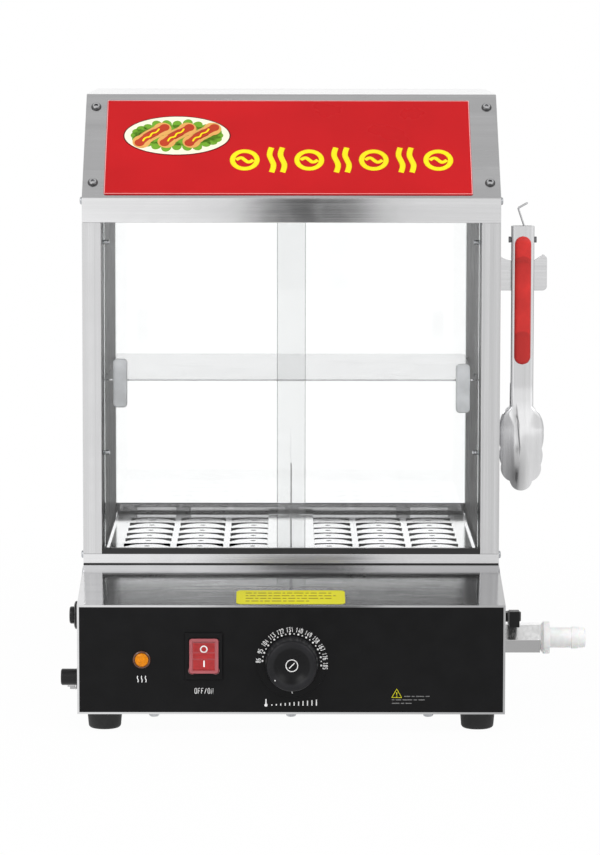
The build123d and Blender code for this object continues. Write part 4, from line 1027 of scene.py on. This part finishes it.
def sign_badge():
    """Cream badge with three sausages lying across a bed of leaves."""
    cx, cy = -101, 77
    film([patch(cx, cy, 47.4, 25.0, steps=72)], "sign_badge_outline", sign_outline, 0.78)
    film([patch(cx, cy, 46.3, 24.0, steps=72)], "sign_badge_ground", sign_cream)
    leaves = []
    for k in range(24):
        a = math.radians(k * 15)
        leaves.append(patch(cx + 35.5 * math.cos(a), cy + (14.5 + 1.2 * (k % 3 - 1)) * math.sin(a),
                            5.4, 4.4, turn=a, steps=20))
    leaves.append(patch(cx, cy, 34, 13, steps=48))
    film(leaves, "sign_badge_leaves", sign_green, 1.0)
    buns, sausages, mustard = [], [], []
    lying = ((-9.0, -8.0), (-4, -1.5), (3, 3.4), (9.0, 8.0))
    zigzag = ((-8, -8), (-6.5, -3), (-1.5, -2.5), (-0.5, 2.5), (4.5, 3.2), (6, 8))
    for x in (cx - 22, cx, cx + 22):
        for parts, width, reach in ((buns, 16.0, 1.0), (sausages, 8.8, 1.2)):
            line = [(x + a * reach, cy + b * reach) for a, b in lying]
            parts.append(stroke(line, width))
            parts += [patch(*line[0], width / 2, width / 2), patch(*line[-1], width / 2, width / 2)]
        mustard.append(stroke([(x + a, cy + b) for a, b in zigzag], 1.7))
    film(buns, "sign_badge_buns", sign_bun, 1.2)
    film(sausages, "sign_badge_sausages", sign_brown, 1.4)
    film(mustard, "sign_badge_mustard", sign_yellow, 1.6)


def sign_symbols():
    """Row of bold yellow symbols: a bun in a ring and a pair of steam waves in turn."""
    parts, low, high = [], 31.0, 62.0
    mid = (low + high) / 2
    for k in range(7):
        x = -41.0 + 28.3 * k
        if k % 2 == 0:
            parts.append(loop(x, mid, 11.0, 11.2, 4.8, 16))
            swirl = ((-7.5, 0), (-3.7, 4), (0, 0), (3.7, -4), (7.5, 0))
            parts.append(stroke([(x + a, mid + b) for a, b in swirl], 3.8))
        else:
            parts += [wave(x + dx, low, high, 2.6, 5.2) for dx in (-4.8, 4.8)]
    film(parts, "sign_symbols_print", sign_yellow)


edge_line = [(-163.0, 4.6), (157.4, 4.6), (157.4, 121.8), (-163.0, 121.8)]
film([stroke(edge_line, 0.8, cyclic=True, kind="POLY")], "sign_edge_line", sign_edge, 0.8)
sign_badge()
sign_symbols()


# ---------------------------------------------------------------- trays
def slot_lip(low, high):
    """Raised lip behind an arched slot between two angles from its crown, taller towards its ends."""
    radius, full = 22.65 * mm, math.radians(64)
    lip = primitive(ops.mesh.primitive_grid_add, x_subdivisions=24, y_subdivisions=1, size=2)
    for vertex in lip.data.vertices:
        turn = math.radians(low + (high - low) * (vertex.co.x + 1) / 2)
        height = 0.0 if vertex.co.y < 0 else (0.3 + 1.1 * (turn / full) ** 2) * mm
        vertex.co = (radius * math.sin(turn), radius * math.cos(turn), height)
    modify(lip, "SOLIDIFY", thickness=1.1 * mm, offset=0.0)
    outward(lip)
    return lip


def tray_lips(side, label):
    """One tray's lips; they stop short of the partition's foot and of the front hem."""
    first_x, column_pitch, last_y, row_pitch, floor_z = 34.2, 47.2, 134.4, 34.6, 137.98
    parts = []
    for column in range(3):
        for row in range(7):
            outer = 50 if row == 6 else 64
            inner = min(33 if column == 0 else 64, outer)
            lip = slot_lip(*((-inner, outer) if side > 0 else (-outer, inner)))
            crown = (side * (first_x + column_pitch * column), last_y - row_pitch * row, floor_z)
            parts.append(lay(lip, crown, x_axis, y_axis))
    lips = join(parts)
    smooth(lips, 40)
    dress(lips, f"tray_slot_lips_{label}", "trays", tray_steel, "stainless")


tray_lips(-1, "left")
tray_lips(1, "right")


# ---------------------------------------------------------------- screws, nuts and the earth bolt
def cut(piece, cutter):
    modify(piece, "BOOLEAN", object=cutter, operation="DIFFERENCE", solver="EXACT")
    bpy.data.objects.remove(cutter)


def pan_screw(radius, height):
    """Domed head with a cross recess, standing on the XY plane."""
    outline = ((1.0, 0), (1.0, 0.42), (0.95, 0.6), (0.84, 0.8), (0.66, 0.93), (0.4, 0.99), (0.12, 1.0))
    head = turned([(r * radius, h * height) for r, h in outline], steps=32)
    for turn in (0, math.pi / 2):
        slot = cube((radius * 1.15, radius * 0.24, height * 0.9), (0, 0, height), turn)
        modify(slot, "BEVEL", width=radius * 0.05 * mm, segments=2)
        cut(head, slot)
    return head


def hexagon(radius, depth, height):
    return primitive(ops.mesh.primitive_cylinder_add, at_point=(0, 0, height), vertices=6,
                     radius=radius * mm, depth=depth * mm)


def button_screw(radius, height):
    """Button head with a hexagonal recess."""
    outline = ((1.0, 0), (1.0, 0.2), (0.96, 0.42), (0.85, 0.68), (0.68, 0.88), (0.46, 0.98), (0.12, 1.0))
    head = turned([(r * radius, h * height) for r, h in outline], steps=36)
    cut(head, hexagon(radius * 0.46, height * 1.2, height * 1.05))
    return head


def set_heads(head, places):
    """Copies of a head at (point, outward direction) places, each turned a little further, as one piece."""
    parts = []
    for k, (seat, outward_to) in enumerate(places):
        twin = linked(head.name + "_twin", head.data.copy())
        spin = Matrix.Rotation(0.7 * k, 4, "Z")
        turn = Vector(outward_to).to_track_quat("Z", "Y").to_matrix().to_4x4()
        twin.data.transform(Matrix.Translation(metres(seat)) @ turn @ spin)
        parts.append(twin)
    bpy.data.objects.remove(head)
    made = join(parts)
    smooth(made, 35)
    return made


def all_screws():
    under = [((x, y, 17), (0, 0, -1)) for x in (-117.165, 0, 117.165) for y in (-197, 197)]
    sides = [((s * 182.5, -87, z), (s, 0, 0)) for s in (-1, 1) for z in (138.0, 448.8)]
    hanger = [((184, -47, z), x_axis) for z in (376.0, 390.0)]
    heads = join([set_heads(pan_screw(4.5, 3.4), under), set_heads(pan_screw(3.4, 2.0), sides + hanger)])
    dress(heads, "panel_screw_heads", "housing", zinc, "stainless", "panel_screws")
    corners = [(hood_foot + hood_slope * s + Vector((x, 0, 0)), hood_normal)
               for x in (-173.4, 173.4) for s in (18.8, 114.41)]
    dress(set_heads(button_screw(4.5, 2.4), corners), "sign_screw_heads", "housing", sign_screw_steel,
          "stainless", "sign_screws")


def hex_nut(across, thick):
    """Nut with rounded corners, standing on the XY plane."""
    nut = hexagon(across / math.sqrt(3), thick, thick / 2)
    bevel(nut, 0.5, 3, 40)
    return nut


def earth_bolt():
    """Threaded bolt with two nuts and a washer, pointing out of the left wall."""
    outline, h, pitch = [(1.6, 0)], 0.4, 0.8
    while h < 11.5:
        outline += [(2.45, h), (2.1, h + pitch / 2)]
        h += pitch
    outline += [(2.3, 12.0), (2.3, 21.9)]
    parts = (
        (turned(outline, steps=20), -194.4), (hex_nut(8, 4.4), -192), (hex_nut(8, 4.0), -186.5),
        (turned(((4.6, 0), (4.6, 0.8), (2.4, 0.9)), steps=32), -187.4),
    )
    piece = join([place(part, (x, -142, 31.8), (0, 90, 0)) for part, x in parts])
    smooth(piece, 35)
    dress(piece, "earth_bolt_and_nuts", "housing", nickel, "brass", "earth_stud")


all_screws()
earth_bolt()


# ---------------------------------------------------------------- tongs
tongs_x, tongs_y, pivot_z = 203.5, -55, 413.3
arm_half, arm_out = 10, 8           # half of an arm's width, and how far its web is from the middle


def tongs_grip(which, body, side):
    """Grip with a thumb rest near its top and a hollow at its lower end."""
    length, half, thick, corner = 113.3, 7.25, 3.4, 3.4
    rest_from, rest_run, rest_fade, rest_depth = 36, 2.2, 34, 0.33
    hollow_from, hollow_run, hollow_depth = -27, 4, 0.26
    straight = length / 2 - half
    piece = primitive(ops.mesh.primitive_grid_add, x_subdivisions=20, y_subdivisions=120, size=2)
    for vertex in piece.data.vertices:
        a, b = vertex.co.x, vertex.co.y * length / 2
        past = min(max(abs(b) - straight, 0) / half, 1)
        wide = half * math.sqrt(max(1 - past * past, 0))
        edge = max(1 - abs(a) ** corner, 0) ** 0.5 * max(1 - past ** corner, 0) ** 0.5
        arch = b + 3.0 * a * a
        under = rest_from - arch
        rest = min(under / rest_run, 1) * max(0, 1 - under / rest_fade) * rest_depth if under > 0 else 0.0
        below = hollow_from - arch
        hollow = min(below / hollow_run, 1) * hollow_depth if below > 0 else 0.0
        vertex.co = metres((a * wide, b, thick * edge * (1 - rest - hollow)))
    edit(piece)
    ops.mesh.remove_doubles(threshold=5e-6)
    ops.mesh.select_all(action="DESELECT")
    ops.mesh.select_non_manifold()
    ops.mesh.edge_face_add()
    leave()
    outward(piece)
    smooth(piece, 60)
    lay(piece, (tongs_x, tongs_y - side * arm_out, 360.15), (side, 0, 0), z_axis)
    dress(piece, f"tongs_grip_{which}_cover", body, grip_red, "red_grip", f"tongs_grip_{which}")


def head_edge(z):
    """Half of the head's width at a height: arcs between the scallops, and a straight neck above."""
    if z >= 266:
        return arm_half
    for low, middle, high in (
        ((19.7, 243.0), (17.6, 256.0), (10.0, 266.0)), ((18.0, 228.5), (19.5, 235.0), (19.7, 243.0)),
        ((17.3, 214.0), (18.95, 221.6), (18.0, 228.5)), ((9.7, 199.5), (15.9, 204.2), (17.3, 214.0)),
    ):
        if z >= low[1]:
            return on_arc(low, middle, high, z)
    return max(on_arc((9.7, 199.5), (0.0, 190.8), (-9.7, 199.5), z), 0.05)


def on_arc(first, middle, last, z):
    """Distance from the middle line of the arc through three points, at a height."""
    (ax, az), (bx, bz), (cx, cz) = first, middle, last
    d = 2 * (ax * (bz - cz) + bx * (cz - az) + cx * (az - bz))
    a2, b2, c2 = ax * ax + az * az, bx * bx + bz * bz, cx * cx + cz * cz
    mx = (a2 * (bz - cz) + b2 * (cz - az) + c2 * (az - bz)) / d
    mz = (a2 * (cx - bx) + b2 * (ax - cx) + c2 * (bx - ax)) / d
    radius = math.hypot(ax - mx, az - mz)
    return mx + math.sqrt(max(radius ** 2 - (z - mz) ** 2, 0))


def ease(value, low, high):
    t = min(max((value - low) / (high - low), 0), 1)
    return t * t * (3 - 2 * t)


def channel(t):
    """Point of the arm's section as (across, out); t runs from one flange's edge to the other's."""
    deep, bend = 3.5, 2.2
    corner = bend * math.pi / 2
    run = abs(t) * (arm_half - bend + corner + deep - bend)
    past = run - arm_half + bend
    if past <= 0:
        x, out = run, 0
    elif past <= corner:
        x, out = arm_half - bend + bend * math.sin(past / bend), bend * math.cos(past / bend) - bend
    else:
        x, out = arm_half, -bend - (past - corner)
    return math.copysign(x, t), arm_out + out


scoop_z, scoop_out = 236.8, 12.9    # where the scoop stands out most, and how far


def scoop_depth(x, z):
    """How far the scoop's skin stands out from the tongs' middle."""
    across, lengthwise = 25, 99     # radii of the scoop
    cross = across - math.sqrt(across ** 2 - x * x)
    return scoop_out - lengthwise + math.sqrt((lengthwise - cross) ** 2 - (z - scoop_z) ** 2)


def rib(x, z):
    """Raised rib that runs from the web down the scoop and fades out."""
    height, lean = 0.62, (266 - z) / 35
    left, far = -4.6 + 2.9 * min(lean, 1), 7.0 - 1.5 * lean
    rise = ease(x, left - 1.1, left + 0.6) * (1 - ease(x, far - 5.0, far + 2.5))
    return height * rise * ease(z, 210, 232) * (1 - ease(z, 244, 268))


def tongs_arm(which, body, side):
    """The arm's channel with rounded bends, flowing into a scalloped scoop."""
    join_z, tip_z, flow_from, flow_to = 286, 190.85, 271.5, 246
    head = primitive(ops.mesh.primitive_grid_add, x_subdivisions=60, y_subdivisions=160, size=2)
    for vertex in head.data.vertices:
        t, down = vertex.co.x, (1 - vertex.co.y) / 2
        z = tip_z + (join_z - tip_z) * (1 - math.sin(down * math.pi / 2))
        wide = head_edge(z)
        flow = 1 - ease(z, flow_to, flow_from)
        middle = scoop_out - (scoop_out - arm_out) * ease(z, scoop_z, join_z)
        if z < scoop_z:
            middle = scoop_depth(0, z)
        x0, out0 = channel(t)
        x0, out0 = x0 * max(wide / arm_half, 1), out0 + middle - arm_out
        x1 = t * wide
        out1 = middle + scoop_depth(x1, z) - scoop_depth(0, z) + rib(x1, z)
        x, out = x0 + (x1 - x0) * flow, out0 + (out1 - out0) * flow
        vertex.co = metres((tongs_x + side * x, tongs_y - side * out, z))
    modify(head, "SOLIDIFY", thickness=0.95 * mm, offset=-1.0)
    outward(head)
    upper = merged_copy(f"tongs_arm_{which}")
    edit(upper)
    ops.mesh.bisect(plane_co=(0, 0, join_z * mm), plane_no=z_axis, clear_inner=True, use_fill=True)
    ops.mesh.select_all(action="DESELECT")
    leave()

    def on_corner(end):
        return (abs(abs(end.x / mm - tongs_x) - arm_half) < 0.02
                and abs(abs(end.y / mm - tongs_y) - arm_out) < 0.02)

    for edge in upper.data.edges:
        a, b = (upper.data.vertices[k].co for k in edge.vertices)
        edge.select = abs(a.z - b.z) > 20 * mm and on_corner(a) and on_corner(b)
    ops.object.mode_set(mode="EDIT")
    ops.mesh.bevel(offset=2.2 * mm, segments=5)
    leave()
    piece = join([upper, head])
    smooth(piece, 40)
    dress(piece, f"tongs_arm_{which}_pressed", body, tongs_steel, "stainless", f"tongs_arm_{which}")


def coil_spring():
    turns, per_turn, radius, half_length = 5, 12, 3.05, 3.9
    count = turns * per_turn
    knots = []
    for k in range(count + 1):
        a = 2 * math.pi * k / per_turn
        knots.append((tongs_x - half_length + 2 * half_length * k / count, tongs_y + radius * math.sin(a),
                      pivot_z + radius * math.cos(a)))
    piece = wire(knots, 1.1, around=3, between=12)
    smooth(piece, 50)
    dress(piece, "tongs_coil_spring", "tongs", wire_steel, "stainless", "tongs_spring")


for arm in (("front", "tongs_front", 1), ("rear", "tongs", -1)):
    tongs_arm(*arm)
    tongs_grip(*arm)
coil_spring()


# ---------------------------------------------------------------- floor, world and lamps, in metres
backlight = 0.26                    # how much brighter the surroundings are when seen through glass
white = (1, 1, 1, 1)


def emission(tree, colour, strength):
    return signal(tree, "ShaderNodeEmission", 0, {"Color": colour, "Strength": strength})


def floor():
    """Pale floor that is as white as the world where it is seen, and darker to the right in reflections."""
    ground = primitive(ops.mesh.primitive_plane_add, size=24)
    ground.name = "floor"
    made, shader, output = material("pale_floor", Roughness=0.7)
    tree = shader.tree
    coat(shader, mixed(noise(point(tree), 40.0, 4.0), grey(238), grey(244)), 0.7)
    mirrored = most(ray(tree, "Glossy") - ray(tree, "Transmission"), 0.0)
    dimmer = mirrored * ramp(at(tree, "X"), -0.4, 0.45, -0.06, 0.24)
    level = 1.0 + ray(tree, "Transmission") * backlight - dimmer
    seen = most(ray(tree, "Camera"), most(ray(tree, "Glossy"), ray(tree, "Transmission")))
    far = vector_maths("LENGTH", point(tree), (0, 0, 0), "Value")
    surface(output, seen * ramp(far, 0.35, 1.1, 0.97, 1.0), shader, emission(tree, white, level))
    ground.data.materials.append(made)


def studio_world():
    """White where it is seen; a softer room, paler low down and greyer high up, in reflections."""
    world = bpy.data.worlds.new("studio")
    world.use_nodes = True
    bpy.context.scene.world = world
    tree = world.node_tree
    tree.nodes.clear()
    height = along(signal(tree, "ShaderNodeTexCoord", "Generated"), "Z")
    room = signal(tree, "ShaderNodeValToRGB", 0, {0: ramp(height, -0.2, 1.0)})
    stops = room.socket.node.color_ramp.elements
    stops[0].color, stops[1].color = white, (0.7, 0.7, 0.7, 1)
    for position, level in ((0.62, 1.0), (0.84, 0.66), (0.92, 0.66)):
        stops.new(position).color = (level, level, level, 1)

    def background(colour, strength):
        return signal(tree, "ShaderNodeBackground", 0, {"Color": colour, "Strength": strength})

    mirror = background(room, 1.0 + ray(tree, "Transmission") * backlight)
    shiny = most(ray(tree, "Glossy"), ray(tree, "Transmission"))
    unseen = signal(tree, "ShaderNodeMixShader", 0, {0: shiny, 1: background(white, 0.5), 2: mirror})
    surface(tree.nodes.new("ShaderNodeOutputWorld"), ray(tree, "Camera"), unseen, background(white, 1.0))


def lamp(name, location, target, size, power, glossy=True):
    data = bpy.data.lights.new(name, "AREA")
    data.shape, data.energy = "RECTANGLE", power
    data.size, data.size_y = size
    light = linked(name, data)
    light.location = location
    light.visible_glossy = glossy
    light.rotation_euler = (Vector(target) - Vector(location)).to_track_quat("-Z", "Y").to_euler()


def dark_card(name, left, far, low, high, level, *fades):
    """Upright card in front, seen only in reflections; each fade is (clear from, dark from) along X."""
    y = -0.69
    card = primitive(ops.mesh.primitive_plane_add, size=1)
    card.name = name
    for vertex, (x, z) in zip(card.data.vertices, ((left, low), (far, low), (left, high), (far, high))):
        vertex.co = (x, y, z)
    made, shader, output = material(name, Roughness=1.0)
    tree, shown = shader.tree, 1.0
    for clear, dark in fades:
        shown = maths("MULTIPLY", ramp(at(tree, "X"), clear, dark), shown)
    through = signal(tree, "ShaderNodeBsdfTransparent")
    surface(output, shown, through, emission(tree, (level, level, level, 1), 1.0))
    card.data.materials.append(made)
    card.visible_camera = card.visible_diffuse = card.visible_shadow = False
    card.visible_transmission = card.visible_volume_scatter = False


floor()
studio_world()
dark_card("card_high", -0.055, 0.095, 0.326, 0.496, 0.1, (-0.055, -0.015), (0.095, 0.06))
dark_card("card_low", -0.1, 0.095, 0.009, 0.084, 0.24, (-0.1, -0.01), (0.095, 0.065))
lamp("key_left", (-1.6, -1.9, 1.9), (0, 0, 0.28), (1.4, 1.4), 20)
lamp("key_right", (1.7, -1.7, 1.7), (0, 0, 0.28), (1.4, 1.4), 12)
lamp("key_high", (0.1, -1.7, 2.0), (0, 0, 0.2), (2.8, 1.5), 18, glossy=False)
lamp("top_soft", (0, 0.1, 2.4), (0, 0, 0.2), (2.0, 1.6), 8, glossy=False)
